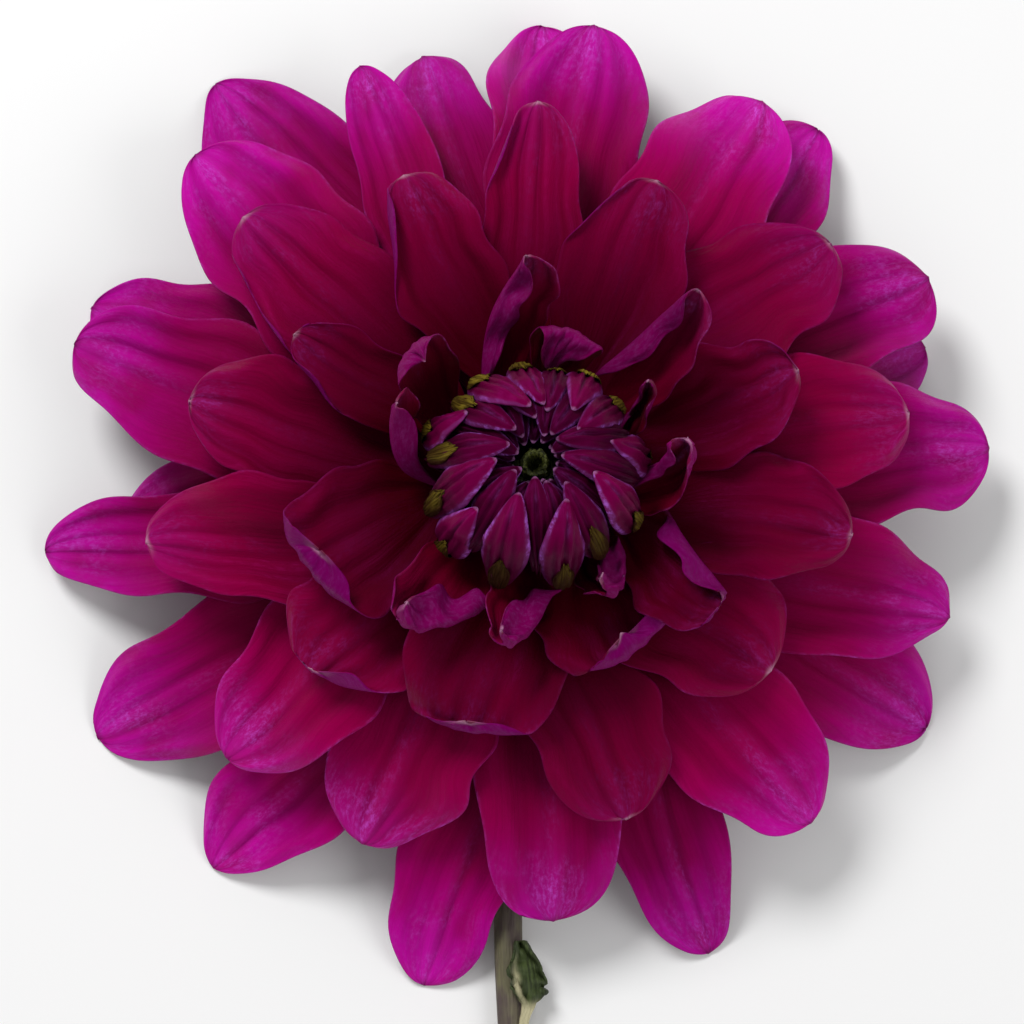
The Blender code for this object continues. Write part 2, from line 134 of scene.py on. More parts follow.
def smooth_route(route: np.ndarray, shares: np.ndarray) -> np.ndarray:
    """Points of a Catmull-Rom curve: a cubic through each four neighbours.

    Args:
        route: points that the curve passes through.
        shares: where the wanted points lie, as shares of the curve's length.

    Returns:
        One point for each share.
    """
    ends = np.vstack([2.0 * route[0] - route[1], route, 2.0 * route[-1] - route[-2]])
    places = np.linspace(0.0, len(route) - 1.0, 20 * len(shares))
    span = np.minimum(places.astype(int), len(route) - 2)
    u = (places - span)[:, None]
    before, start, end, after = (ends[span + k] for k in range(4))
    curve = 0.5 * (2.0 * start + (end - before) * u
                   + (2.0 * before - 5.0 * start + 4.0 * end - after) * u ** 2
                   + (3.0 * start - before - 3.0 * end + after) * u ** 3)
    lengths = np.concatenate([[0.0], np.cumsum(np.linalg.norm(np.diff(curve, axis=0), axis=1))])
    wanted = shares * lengths[-1]
    return np.stack([np.interp(wanted, lengths, curve[:, axis]) for axis in range(3)], axis=-1)


def undulation(seed: int, t: np.ndarray, s: np.ndarray, waves: int = 5) -> np.ndarray:
    """Gentle unevenness between about -1 and 1: a mean of sine waves in random directions.

    Args:
        seed: which unevenness.
        t: shares along.
        s: shares across.
        waves: how many sine waves are added.

    Returns:
        The unevenness at each t and s.
    """
    draw = np.random.default_rng(seed)
    total = 0.0 * t * s
    for _ in range(waves):
        along, across = draw.uniform(2.0, 9.0), draw.uniform(-4.0, 4.0)
        total = total + np.sin(along * t + across * s + draw.uniform(0.0, 2.0 * math.pi))
    return total / math.sqrt(waves)


def turned(outline: list[tuple[float, float]], rows: int, columns: int) -> np.ndarray:
    """Rings of points: a smooth outline of radius and height carried round the z axis.

    Args:
        outline: corners of the outline, from the underside up or round an anticlockwise loop.
        rows: how many rings.
        columns: how many points to a ring.

    Returns:
        Rows of rings and columns of points.
    """
    corners = np.array([(radius, 0.0, height) for radius, height in outline])
    line = smooth_route(corners, np.linspace(0.0, 1.0, rows))
    angle = np.linspace(0.0, 2.0 * math.pi, columns, endpoint=False)
    radius = line[:, :1]
    return np.stack([radius * np.cos(angle), radius * np.sin(angle), line[:, 2:] + 0.0 * angle], axis=-1)


@dataclass
class Surface:
    """Points, groups of equal-sided polygons, and the marks that the finish reads at each point."""

    points: np.ndarray
    faces: list[np.ndarray]
    marks: Marks

    @staticmethod
    def shell(face: np.ndarray, back: np.ndarray, marks: Marks) -> "Surface":
        """Closed surface between two grids of points, with a strip round their rims.

        Args:
            face: rows and columns of points of the outer side.
            back: rows and columns of points of the other side.
            marks: marks for rows and columns; both sides get them, and "back" is added.

        Returns:
            The closed surface.
        """
        rows, columns = face.shape[:2]
        count = rows * columns
        first = (np.arange(rows - 1)[:, None] * columns + np.arange(columns - 1)).reshape(-1)
        quads = np.stack([first, first + columns, first + columns + 1, first + 1], axis=-1)
        numbers = np.arange(count).reshape(rows, columns)
        rim = np.concatenate([numbers[0, :-1], numbers[:-1, -1], numbers[-1, :0:-1], numbers[:0:-1, 0]])
        after = np.roll(rim, -1)
        strip = np.stack([rim, after, after + count, rim + count], axis=-1)
        doubled = {key: np.concatenate([Surface.listed(values, rows, columns)] * 2)
                   for key, values in marks.items()}
        doubled["back"] = np.repeat([0.0, 1.0], count)
        points = np.concatenate([face.reshape(-1, 3), back.reshape(-1, 3)])
        return Surface(points, [np.concatenate([quads, quads[:, ::-1] + count, strip])], doubled)

    @staticmethod
    def sheet(middle: np.ndarray, thickness: np.ndarray, marks: Marks) -> "Surface":
        """Closed thin sheet: half the thickness to either side of a grid, along its normals."""
        normal = unit(np.cross(np.gradient(middle, axis=0), np.gradient(middle, axis=1)))
        half = 0.5 * thickness[..., None] * normal
        return Surface.shell(middle + half, middle - half, marks)

    @staticmethod
    def tube(rings: np.ndarray, marks: Marks, looped: bool = False) -> "Surface":
        """Closed tube of rings of points, which run anticlockwise seen from the last ring.

        Args:
            rings: rows of rings and columns of points.
            marks: marks for rows and columns; "back" is added.
            looped: whether the last ring joins the first; otherwise a polygon closes either end.

        Returns:
            The closed surface.
        """
        rows, columns = rings.shape[:2]
        here = np.arange(columns)
        after = (here + 1) % columns
        start = np.arange(rows if looped else rows - 1)[:, None] * columns
        following = (start + columns) % (rows * columns)
        quads = np.stack([start + here, start + after, following + after, following + here], axis=-1)
        faces = [quads.reshape(-1, 4)]
        if not looped:
            faces.append(np.stack([here[::-1], here + (rows - 1) * columns]))
        listed = {key: Surface.listed(values, rows, columns) for key, values in marks.items()}
        listed["back"] = np.zeros(rows * columns)
        return Surface(rings.reshape(-1, 3), faces, listed)

    @staticmethod
    def listed(values: np.ndarray, rows: int, columns: int) -> np.ndarray:
        """Marks of rows and columns as one list, spread over a missing row or column."""
        wide = np.broadcast_to(values, (rows, columns) + values.shape[2:])
        return wide.reshape((rows * columns,) + values.shape[2:])

    @staticmethod
    def joined(surfaces: list["Surface"]) -> "Surface":
        """All of these surfaces as one, side by side."""
        faces = []
        count = 0
        for one in surfaces:
            faces += [group + count for group in one.faces]
            count += len(one.points)
        marks = {key: np.concatenate([one.marks[key] for one in surfaces]) for key in surfaces[0].marks}
        return Surface(np.concatenate([one.points for one in surfaces]), faces, marks)

    def mesh(self, name: str) -> bpy.types.Mesh:
        """The surface as a smooth mesh with its marks as attributes."""
        mesh = bpy.data.meshes.new(name)
        corners = np.concatenate([group.ravel() for group in self.faces])
        sizes = np.concatenate([np.full(len(group), group.shape[1]) for group in self.faces])
        mesh.vertices.add(len(self.points))
        mesh.vertices.foreach_set("co", self.points.ravel().astype(np.float32))
        mesh.loops.add(len(corners))
        mesh.loops.foreach_set("vertex_index", corners.astype(np.int32))
        mesh.polygons.add(len(sizes))
        mesh.polygons.foreach_set("loop_start", (np.cumsum(sizes) - sizes).astype(np.int32))
        mesh.update(calc_edges=True)
        for key, values in self.marks.items():
            kind, entry = ("FLOAT_VECTOR", "vector") if values.ndim == 2 else ("FLOAT", "value")
            layer = mesh.attributes.new(name=key, type=kind, domain="POINT")
            layer.data.foreach_set(entry, values.ravel().astype(np.float32))
        mesh.shade_smooth()
        return mesh


@dataclass(frozen=True)
class Head:
    """Where the head's axis stands in the frame, and the dome that the petals grow from."""

    x: float
    y: float
    z: float
    dome_height: float = 21.0
    dome_radius: float = 9.5
    dome_top: float = 25.0
    gap: float = 0.35

    @staticmethod
    def of_frame() -> "Head":
        """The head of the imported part, from its receptacle's box."""
        low, high = (np.array(corner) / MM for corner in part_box("receptacle"))
        middle = 0.5 * (low + high)
        return Head(middle[0], middle[1], low[2] - (Head.dome_height - Head.dome_radius))

    def in_frame(self, points: np.ndarray) -> np.ndarray:
        """These points of the head's frame in the part's frame, in metres."""
        return (points + np.array([self.x, self.y, self.z])) * MM

    def make_piece(self, name: str, surface: Surface, material: bpy.types.Material, slot: str,
                   node: str) -> None:
        """Make a surface a piece of the flower that stands for a CAD node.

        Args:
            name: the piece's name.
            surface: its shape, in the head's frame.
            material: its finish.
            slot: the record's material slot; not used.
            node: the CAD node that it replaces.
        """
        mesh = Surface(self.in_frame(surface.points), surface.faces, surface.marks).mesh(name)
        mesh.materials.append(material)
        piece = bpy.data.objects.new(name, mesh)
        bpy.context.scene.collection.objects.link(piece)
        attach(piece, "root")
        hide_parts(node)
        LOG.info("%s: %d points", name, len(surface.points))


class Row(Enum):
    """The rows of open petals, from the outside in."""

    OUTER = "outer_petal"
    MIDDLE = "middle_petal"
    INNER = "inner_petal"

    @property
    def slot(self) -> str:
        """The record's material slot of the row."""
        return self.value + "s"


@dataclass(frozen=True)
class Fold:
    """A stretch of petal past a straight crease, rolled over the petal's face.

    t and s place a point of the crease, heading is the way from it to the rolled part, from the tip's
    direction towards the anticlockwise margin, and radius and angle say how it rolls.
    """

    t: float
    s: float
    heading: float
    radius: float
    angle: float

    def apply(self, along: np.ndarray, across: np.ndarray, length: float,
              half: float) -> tuple[np.ndarray, np.ndarray, np.ndarray, np.ndarray]:
        """How far the fold moves each point of the flat petal.

        A point past the crease goes round an arc of the fold's radius up to its angle, and then on in a
        straight line.

        Args:
            along: distances from the foot.
            across: distances from the midrib.
            length: the flat petal's length.
            half: half its greatest width.

        Returns:
            The moves along and across, the height over the face, and the angle turned through.
        """
        ahead = math.cos(math.radians(self.heading))
        aside = math.sin(math.radians(self.heading))
        past = np.maximum((along - self.t * length) * ahead + (across - self.s * half) * aside, 0.0)
        angle = math.radians(self.angle)
        arc = np.minimum(past / self.radius, angle)
        rest = np.maximum(past - self.radius * angle, 0.0)
        move = self.radius * np.sin(arc) + rest * math.cos(angle) - past
        height = self.radius * (1.0 - np.cos(arc)) + rest * math.sin(angle)
        return move * ahead, move * aside, height, arc


@dataclass(frozen=True)
class Petal:
    """One open petal.

    bearing, reach and height place its tip, ring is the ring of the dome that it grows from, and wrap is
    how far its width curls towards the axis. arch lifts its middle, bend moves its tip anticlockwise,
    roll curls that margin, turn curls the tip, and sharpness runs from a blunt tip to a pointed one. flap
    is the extra length that folds take up.
    """

    bearing: float
    reach: float
    height: float
    width: float
    ring: int
    wrap: float
    arch: float = 2.0
    bend: float = 0.0
    roll: float = 0.0
    turn: float = 0.0
    sharpness: float = 0.62
    flap: float = 0.0
    folds: tuple[Fold, ...] = ()


OUTER_PETALS = (
    Petal(54.0, 62.0, 2.5, 16.0, 0, 40.0),
    Petal(23.0, 55.0, 0.0, 15.0, 0, 40.0),
    Petal(329.5, 57.5, 0.0, 18.0, 0, 40.0, bend=1.0),
    Petal(289.0, 61.0, 0.0, 15.0, 0, 40.0, bend=2.0),
    Petal(257.0, 62.5, 0.0, 16.0, 0, 40.0),
    Petal(228.5, 61.5, 0.0, 17.0, 0, 40.0, sharpness=0.7),
    Petal(206.5, 63.0, 0.0, 19.0, 0, 40.0, bend=2.0),
    Petal(178.5, 53.0, 2.0, 14.0, 0, 40.0, bend=3.0),
    Petal(187.5, 63.0, 2.5, 14.0, 0, 40.0, bend=-2.5),
    Petal(156.5, 63.0, 0.0, 16.0, 0, 40.0, bend=-1.0),
    Petal(127.0, 70.0, 0.0, 19.5, 0, 40.0, bend=-1.0, sharpness=0.75),
    Petal(105.0, 61.0, 3.0, 16.5, 0, 40.0, bend=-1.0),
    Petal(89.0, 64.0, 0.0, 17.0, 0, 40.0),
    Petal(112.0, 60.5, 11.0, 11.0, 1, 55.0, sharpness=0.7),
    Petal(84.0, 62.5, 9.0, 19.5, 1, 40.0, bend=-1.0),
    Petal(61.0, 59.5, 10.0, 19.0, 1, 40.0, bend=-0.5),
    Petal(7.0, 58.5, 8.0, 18.5, 1, 40.0, sharpness=0.58),
    Petal(33.0, 58.0, 10.0, 18.5, 1, 40.0, bend=-3.0),
    Petal(342.0, 54.8, 9.0, 18.5, 1, 40.0, bend=2.0, sharpness=0.8),
    Petal(310.0, 54.0, 11.0, 19.0, 1, 40.0),
    Petal(274.0, 53.5, 9.0, 20.0, 1, 40.0, bend=-1.0),
    Petal(244.0, 49.0, 12.0, 20.0, 1, 45.0),
    Petal(221.0, 51.0, 13.0, 19.0, 1, 45.0),
    Petal(161.5, 62.0, 10.0, 19.0, 1, 40.0),
    Petal(134.0, 62.0, 12.0, 20.0, 1, 40.0),
)
MIDDLE_PETALS = (
    Petal(12.0, 48.0, 19.0, 18.0, 2, 45.0, arch=3.0),
    Petal(40.0, 48.5, 21.0, 18.0, 2, 45.0, arch=3.0),
    Petal(137.5, 50.0, 22.0, 17.5, 2, 45.0, arch=3.0, roll=60.0,
          folds=(Fold(0.75, 0.7, 70.0, 1.1, 120.0),)),
    Petal(168.0, 44.3, 24.0, 17.0, 2, 45.0, arch=3.0, bend=-1.5),
    Petal(190.5, 49.0, 20.0, 16.0, 2, 45.0, arch=3.0, bend=-1.5),
    Petal(286.5, 43.0, 18.0, 18.0, 2, 55.0, arch=3.0, bend=-1.0),
    Petal(322.0, 37.5, 22.0, 20.0, 2, 55.0, arch=3.0),
    Petal(352.0, 40.0, 24.0, 16.5, 2, 45.0, arch=3.0, bend=-0.5),
    Petal(90.0, 48.5, 24.0, 13.0, 2, 60.0, arch=3.0, roll=60.0,
          folds=(Fold(0.75, 0.66, 70.0, 1.1, 120.0),)),
    Petal(68.0, 40.5, 28.0, 16.0, 3, 55.0, roll=60.0,
          folds=(Fold(0.8, 0.6, 60.0, 1.1, 130.0),)),
    Petal(115.0, 41.5, 28.0, 14.5, 3, 55.0, bend=-1.5, roll=70.0,
          folds=(Fold(0.75, 0.6, 70.0, 1.1, 130.0),)),
    Petal(152.0, 34.5, 31.0, 10.5, 3, 55.0, bend=-1.0, roll=60.0,
          folds=(Fold(0.75, 0.6, 75.0, 1.0, 130.0),)),
    Petal(221.0, 36.0, 25.0, 20.0, 3, 45.0, sharpness=0.5, flap=1.5,
          folds=(Fold(0.9, 0.2, 25.0, 0.9, 125.0),)),
    Petal(21.0, 35.0, 31.0, 15.0, 3, 50.0),
    Petal(255.0, 32.0, 26.0, 21.5, 3, 45.0, turn=60.0, sharpness=0.52, flap=2.5,
          folds=(Fold(0.88, 0.0, 4.0, 1.0, 135.0),)),
    Petal(203.0, 31.0, 33.0, 19.0, 3, 45.0, turn=40.0, sharpness=0.5, flap=3.0,
          folds=(Fold(0.82, 0.0, 12.0, 1.3, 130.0),)),
    Petal(297.0, 25.0, 31.0, 19.0, 3, 50.0, turn=60.0, sharpness=0.5, flap=3.0,
          folds=(Fold(0.8, 0.15, 8.0, 1.1, 140.0),)),
    Petal(324.0, 27.5, 33.0, 14.0, 3, 55.0, roll=60.0, flap=2.0,
          folds=(Fold(0.6, 0.36, 74.0, 1.1, 150.0),)),
)
INNER_PETALS = (
    Petal(47.0, 29.0, 41.0, 12.5, 4, 100.0, arch=1.0,
          folds=(Fold(0.6, 0.15, 82.0, 1.1, 165.0),)),
    Petal(100.0, 25.0, 43.0, 12.0, 4, 80.0, arch=1.0, bend=-3.0, sharpness=0.8,
          folds=(Fold(0.6, 0.05, 84.0, 0.9, 170.0),)),
    Petal(236.0, 25.0, 37.0, 14.0, 4, 80.0, arch=1.0, turn=60.0, flap=3.5,
          folds=(Fold(0.7, 0.1, 50.0, 0.6, 160.0), Fold(0.78, -0.75, -60.0, 0.9, 90.0))),
    Petal(266.0, 22.0, 37.0, 11.0, 4, 100.0, arch=1.0, turn=60.0, flap=3.5,
          folds=(Fold(0.68, 0.1, 58.0, 0.5, 160.0),)),
    Petal(138.0, 21.0, 43.0, 10.0, 4, 130.0, arch=1.0, turn=60.0, flap=1.0,
          folds=(Fold(0.8, 0.0, 10.0, 1.2, 120.0),)),
    Petal(172.0, 18.0, 44.0, 10.0, 4, 90.0, arch=1.0, bend=-4.5, sharpness=0.8,
          folds=(Fold(0.45, -0.05, 90.0, 1.7, 200.0),)),
    Petal(308.0, 18.5, 37.0, 10.0, 4, 100.0, arch=1.0, flap=4.0,
          folds=(Fold(0.6, 0.1, 50.0, 0.8, 155.0),)),
    Petal(8.0, 19.0, 42.0, 12.0, 4, 60.0, arch=1.0, sharpness=0.35, flap=1.0,
          folds=(Fold(0.5, -0.35, 90.0, 2.0, 240.0),)),
    Petal(76.0, 17.5, 42.0, 9.0, 4, 70.0, arch=1.0, bend=-1.5, flap=4.0,
          folds=(Fold(0.6, 0.0, -10.0, 0.9, 160.0),)),
    Petal(35.0, 17.0, 42.0, 6.0, 4, 120.0, arch=1.0,
          folds=(Fold(0.5, 0.1, 84.0, 0.9, 170.0),)),
)
PETAL_ROWS = ((Row.OUTER, OUTER_PETALS), (Row.MIDDLE, MIDDLE_PETALS), (Row.INNER, INNER_PETALS))


@dataclass
class Corolla:
    """All the open petals."""

    head: Head
    ring_polar: tuple[float, ...] = (102.0, 95.0, 88.0, 81.0, 74.0)
    layer_gap: float = 1.05
    solid_thickness: float = 0.5
    foot_width: float = 2.8
    foot_wrap: float = 100.0
    tip_half_width: float = 0.25
    lean_share: float = 0.85
    wrap_settles: float = 0.25
    bend_starts: float = 0.45
    roll_settles: float = 0.5
    widest_at: float = 0.6
    turn_starts: float = 0.72
    tip_starts: float = 0.75
    margin_starts: float = 0.7
    widening: float = 1.5
    narrowing: float = 2.2
    drooping: float = 1.35
    bending: float = 1.3
    tip_flattening: float = 0.35
    least_angle: float = 0.3
    ring_step: float = 0.75
    ring_start: float = 9.0
    ring_count: int = 90
    edge_margin: float = 0.5
    floor_clearance: float = 0.05
    push_reach: tuple[int, int] = (7, 9)
    smoothing_reaches: tuple[tuple[int, int], ...] = ((4, 5), (3, 4))
    laid_rows: int = 81
    laid_columns: int = 49
    rows: int = 63
    columns: int = 49
    thickness: float = 0.34
    rim_thickness: float = 0.14
    floor_contact: float = 0.22
    groove_at: float = 0.19
    groove_width: float = 0.085
    groove_depth: float = 0.8
    pleat_width: float = 0.16
    pleat_depth: float = 0.9
    recurve: float = 0.45
    unevenness: float = 0.45
    flutter: float = 0.5
    full_size: float = 8.0
    crumple: float = 0.5
    bluntness: float = 0.76
    nib_length: float = 0.14
    notch_depth: float = 0.4
    tip_shift: float = 0.7

    def spread(self, count: int) -> np.ndarray:
        """Shares of a petal's length where its rows lie, closer together towards the tip."""
        run = np.linspace(0.0, 1.0, count)
        return 1.0 - 0.5 * (1.0 - run) ** 2 - 0.5 * (1.0 - run ** 1.3) ** 2

    def foot_bearings(self, petals: list[Petal]) -> list[float]:
        """Bearing of each petal's foot: the petals of a ring stand evenly round the dome."""
        feet = [0.0] * len(petals)
        for ring in range(len(self.ring_polar)):
            members = sorted((k for k, petal in enumerate(petals) if petal.ring == ring),
                             key=lambda k: petals[k].bearing)
            pitch = 360.0 / len(members)
            start = sum(petals[k].bearing - pitch * place for place, k in enumerate(members)) / len(members)
            for place, k in enumerate(members):
                feet[k] = start + pitch * place
        return feet

    def half_width(self, petal: Petal, t: np.ndarray, bluntness: float = 1.0) -> np.ndarray:
        """Half the width along a petal: a sine's growth from the foot, and a rounded close at the tip."""
        foot = self.foot_width / petal.width
        growing = np.sin(0.5 * math.pi * np.clip(t / self.widest_at, 0.0, 1.0)) ** self.widening
        past = np.clip((t - self.widest_at) / (1.0 - self.widest_at), 0.0, 1.0)
        closing = (1.0 - past ** self.narrowing) ** (petal.sharpness * bluntness)
        return np.maximum(0.5 * petal.width * (foot + (1.0 - foot) * growing) * closing, self.tip_half_width)

    def wrap_at(self, petal: Petal, t: np.ndarray) -> np.ndarray:
        """How far the width curls at each t, in radians: most at the foot, least at the tip."""
        wrap = self.foot_wrap + (petal.wrap - self.foot_wrap) * ease(t / self.wrap_settles)
        return np.radians(wrap * (1.0 - self.tip_flattening * between(t, self.tip_starts, 1.0)))

    def length(self, petal: Petal) -> float:
        """Length of the petal from the dome to its tip."""
        rise = petal.height - self.head.dome_height
        return math.hypot(petal.reach, rise) - self.head.dome_radius - self.head.gap

    def angles(self, petal: Petal, foot: float, t: np.ndarray, distance: np.ndarray, across: np.ndarray,
               height: np.ndarray) -> tuple[np.ndarray, np.ndarray]:
        """Bearing and polar angle of points beside and over the midrib.

        The midrib's polar angle goes from the ring's to the tip's with a power of t, and its bearing from
        the foot's to the tip's with the square of what is left of t.

        Args:
            petal: the petal.
            foot: its foot's bearing.
            t: shares along the midrib.
            distance: distances from the dome's middle.
            across: distances beside the midrib, anticlockwise.
            height: heights over it, towards the axis.

        Returns:
            The bearing and the polar angle, in radians.
        """
        ring_polar = math.radians(self.ring_polar[petal.ring])
        tip_polar = math.atan2(petal.reach, petal.height - self.head.dome_height)
        angle = ring_polar + (tip_polar - ring_polar) * t ** self.drooping - height / distance
        lean = math.radians(self.lean_share * (foot - petal.bearing))
        bent = petal.bend * between(t, self.bend_starts, 1.0) ** self.bending
        radius = distance * np.sin(np.maximum(angle, self.least_angle))
        return math.radians(petal.bearing) + lean * (1.0 - t) ** 2 + (across + bent) / radius, angle

    def plain_shape(self, petal: Petal, foot: float) -> tuple[np.ndarray, np.ndarray, np.ndarray]:
        """Distance, bearing and polar angle of the plain sheet that the petal's solid has.

        Across, its slope grows with s, and more steeply in a rolled margin; along, a turned tip leaves
        the sphere round the dome on a curve of growing slope.

        Args:
            petal: the petal.
            foot: its foot's bearing.

        Returns:
            The three grids, with the angles in radians.
        """
        t = self.spread(self.laid_rows)
        s = np.linspace(-1.0, 1.0, self.laid_columns)
        rolled = math.radians(petal.roll) * between(s, self.margin_starts, 1.0)
        slope = 0.5 * self.wrap_at(petal, t)[:, None] * s + rolled * ease(t / self.roll_settles)[:, None]
        half = self.half_width(petal, t)[:, None]
        middle = self.laid_columns // 2
        across = running_sum(np.cos(slope), s)
        raised = running_sum(np.sin(slope), s)
        across = (across - across[:, middle:middle + 1]) * half
        raised = (raised - raised[:, middle:middle + 1]) * half
        turn = math.radians(petal.turn) * between(t, self.turn_starts, 1.0)
        length = self.length(petal)
        out = self.head.dome_radius + self.head.gap + length * running_sum(np.cos(turn), t)
        lifted = length * running_sum(np.sin(turn), t) + petal.arch * 4.0 * t * (1.0 - t)
        distance = out[:, None] - raised * np.sin(turn)[:, None]
        height = lifted[:, None] + raised * np.cos(turn)[:, None]
        bearing, angle = self.angles(petal, foot, t[:, None], distance, across, height)
        return distance, bearing, angle

    def window(self, values: np.ndarray, reach: tuple[int, int], pick: np.ufunc) -> np.ndarray:
        """Greatest or mean value in a window of this reach round every grid point."""
        for axis in (0, 1):
            edges = [(0, 0), (0, 0)]
            edges[axis] = (reach[axis], reach[axis])
            wide = np.pad(values, edges, mode="edge")
            count = values.shape[axis]
            shifted = [np.take(wide, np.arange(k, k + count), axis) for k in range(2 * reach[axis] + 1)]
            values = pick(np.stack(shifted), axis=0)
        return values

    def cell(self, distance: np.ndarray, bearing: np.ndarray) -> tuple[np.ndarray, np.ndarray]:
        """Row and column of the support map for these places."""
        row = np.rint((distance - self.ring_start) / self.ring_step).astype(int)
        return np.clip(row, 0, self.ring_count - 1), np.rint(np.degrees(bearing)).astype(int) % 360

    def pushes(self, petals: list[Petal]) -> list[np.ndarray]:
        """How far each petal is pushed towards the axis, so that it clears those behind it.

        A map of rings and bearings round the dome holds the smallest polar angle laid so far; a petal's
        push is its greatest shortfall nearby, smoothed.

        Args:
            petals: the petals from back to front.

        Returns:
            The push at every grid point of each petal, in millimetres.
        """
        rings = self.ring_start + self.ring_step * np.arange(self.ring_count)
        lowest = 0.5 * self.solid_thickness + self.floor_clearance - self.head.dome_height
        support = np.arccos(np.clip(lowest / rings, -1.0, 1.0)) + self.layer_gap / rings
        support = np.repeat(support[:, None], 360, axis=1)
        found = []
        for petal, foot in zip(petals, self.foot_bearings(petals)):
            distance, bearing, angle = self.plain_shape(petal, foot)
            limit = support[self.cell(distance, bearing)] - self.layer_gap / distance
            push = self.window(np.maximum(angle - limit, 0.0) * distance, self.push_reach, np.max)
            for reach in self.smoothing_reaches:
                push = self.window(push, reach, np.mean)
            found.append(push)
            place = finer(distance)
            polar = finer(angle - push / distance)
            row, column = self.cell(place, finer(bearing))
            margin = np.maximum(1, np.rint(np.degrees(self.edge_margin / (place * np.sin(polar))))).astype(int)
            for step in (-1, 0, 1):
                for side in (-1, 0, 1):
                    cell = (np.clip(row + step, 0, self.ring_count - 1), (column + side * margin) % 360)
                    np.minimum.at(support, cell, polar)
        return found

    def relief(self, seed: int, t: np.ndarray, s: np.ndarray, half: float) -> np.ndarray:
        """Height of the petal's relief over its smooth sheet.

        Two grooves run beside the midrib and near each other at the tip, a wide pleat runs down each
        half, the margins curl back and flutter, and the whole sheet is gently uneven. Where the petal
        narrows, all of it is lower.

        Args:
            seed: the petal's number.
            t: shares along.
            s: shares across.
            half: half the petal's width there.

        Returns:
            The height in millimetres, towards the axis.
        """
        size = (0.35 + 0.65 * np.minimum(1.0, half / self.full_size)) * between(t, 0.05, 0.35)
        margin = between(np.abs(s), 0.75, 1.0)
        height = -self.creases(seed, t, s)
        height = height - self.recurve * margin * (1.0 + 0.7 * undulation(2000 + seed, 1.6 * t, s))
        height = height + self.unevenness * undulation(3000 + seed, t, s)
        height = height + self.flutter * margin * undulation(5000 + seed, 3.0 * t, np.sign(s))
        return size * height

    def creases(self, seed: int, t: np.ndarray, s: np.ndarray) -> np.ndarray:
        """Depth of the petal's two grooves and two pleats, in millimetres."""
        draw = np.random.default_rng(1000 + seed)
        middle = draw.uniform(-0.08, 0.08) + 0.06 * undulation(1500 + seed, 0.5 * t, 0.0 * s)
        depth = 0.0 * t
        for side in (-1.0, 1.0):
            groove = bell(s, middle + side * self.groove_at, self.groove_width)
            pleat = bell(s, middle + side * draw.uniform(0.4, 0.62), self.pleat_width)
            depth = depth + self.groove_depth * draw.uniform(0.4, 1.0) * groove * between(t, 0.25, 0.85)
            depth = depth + self.pleat_depth * draw.uniform(0.2, 1.0) * pleat
        return depth * (1.0 - 0.6 * between(t, 0.88, 1.0))

    def surface(self, petal: Petal, foot: float, push: np.ndarray, seed: int) -> Surface:
        """The petal's closed sheet with its relief and folds.

        The flat petal gets its outline and folds first, and is then bent round the midrib: on the arc
        across, a flat distance is an angle, and a height shortens the arc's radius.

        Args:
            petal: the petal.
            foot: its foot's bearing.
            push: how far it is pushed towards the axis.
            seed: the petal's number.

        Returns:
            The closed sheet in the head's frame.
        """
        t = np.broadcast_to(self.spread(self.rows)[:, None], (self.rows, self.columns))
        s = np.broadcast_to(np.linspace(-1.0, 1.0, self.columns), (self.rows, self.columns))
        length = self.length(petal)
        flat_length = length + petal.flap
        half = self.half_width(petal, t, self.bluntness)
        wavy = 1.0 + 0.07 * between(t, 0.3, 0.6) * undulation(seed, 3.5 * t, 1.5 * np.sign(s))
        shift = self.tip_shift * np.random.default_rng(1700 + seed).uniform(-1.0, 1.0)
        flat_across = s * half * wavy + shift * between(t, 0.75, 1.0)
        notches = self.notch_depth * undulation(1900 + seed, 0.0 * t, 2.5 * s)
        nib = self.nib_length * (bell(s, 0.0, 0.6) - 1.0) * between(t, 0.9, 1.0)
        nib = nib + notches * between(t, 0.86, 0.95) * (1.0 - between(t, 0.96, 1.0))
        flat_along = t * flat_length + nib
        along = flat_along
        across = flat_across
        height = self.relief(seed, t, s, half)
        folded = 0.0 * t
        for fold in petal.folds:
            ahead, aside, up, turned_by = fold.apply(flat_along, flat_across, flat_length, 0.5 * petal.width)
            along = along + ahead
            across = across + aside
            height = height + up
            folded = np.maximum(folded, turned_by)
        height = height + self.crumple * between(folded, 0.3, 1.5) * undulation(1800 + seed, 2.5 * t, 2.0 * s)
        share = along / flat_length
        half_here = self.half_width(petal, share, self.bluntness)
        curl = 0.5 * self.wrap_at(petal, share)
        slope = curl * np.clip(across / half_here, -1.3, 1.3)
        beside = half_here * np.sin(slope) / curl - height * np.sin(slope)
        raised = half_here * (1.0 - np.cos(slope)) / curl + height * np.cos(slope)
        here = np.clip(along / length, 0.0, 1.02)
        distance = self.head.dome_radius + self.head.gap + length * here
        raised = raised + petal.arch * 4.0 * here * (1.0 - here)
        bearing, angle = self.angles(petal, foot, np.minimum(here, 1.0), distance, beside, raised)
        row = np.interp(here, self.spread(self.laid_rows), np.arange(self.laid_rows))
        column = 0.5 * (1.0 + np.clip(beside / self.half_width(petal, here), -1.0, 1.0))
        angle = angle - sample(push, row, column * (self.laid_columns - 1)) / distance
        middle = np.stack([
            distance * np.sin(angle) * np.cos(bearing),
            distance * np.sin(angle) * np.sin(bearing),
            self.head.dome_height + distance * np.cos(angle),
        ], axis=-1)
        middle[..., 2] = np.maximum(middle[..., 2], self.floor_contact - self.head.z)
        rim = np.maximum(between(np.abs(s), 0.7, 1.0), between(t, 0.9, 1.0))
        thickness = self.thickness + (self.rim_thickness - self.thickness) * rim
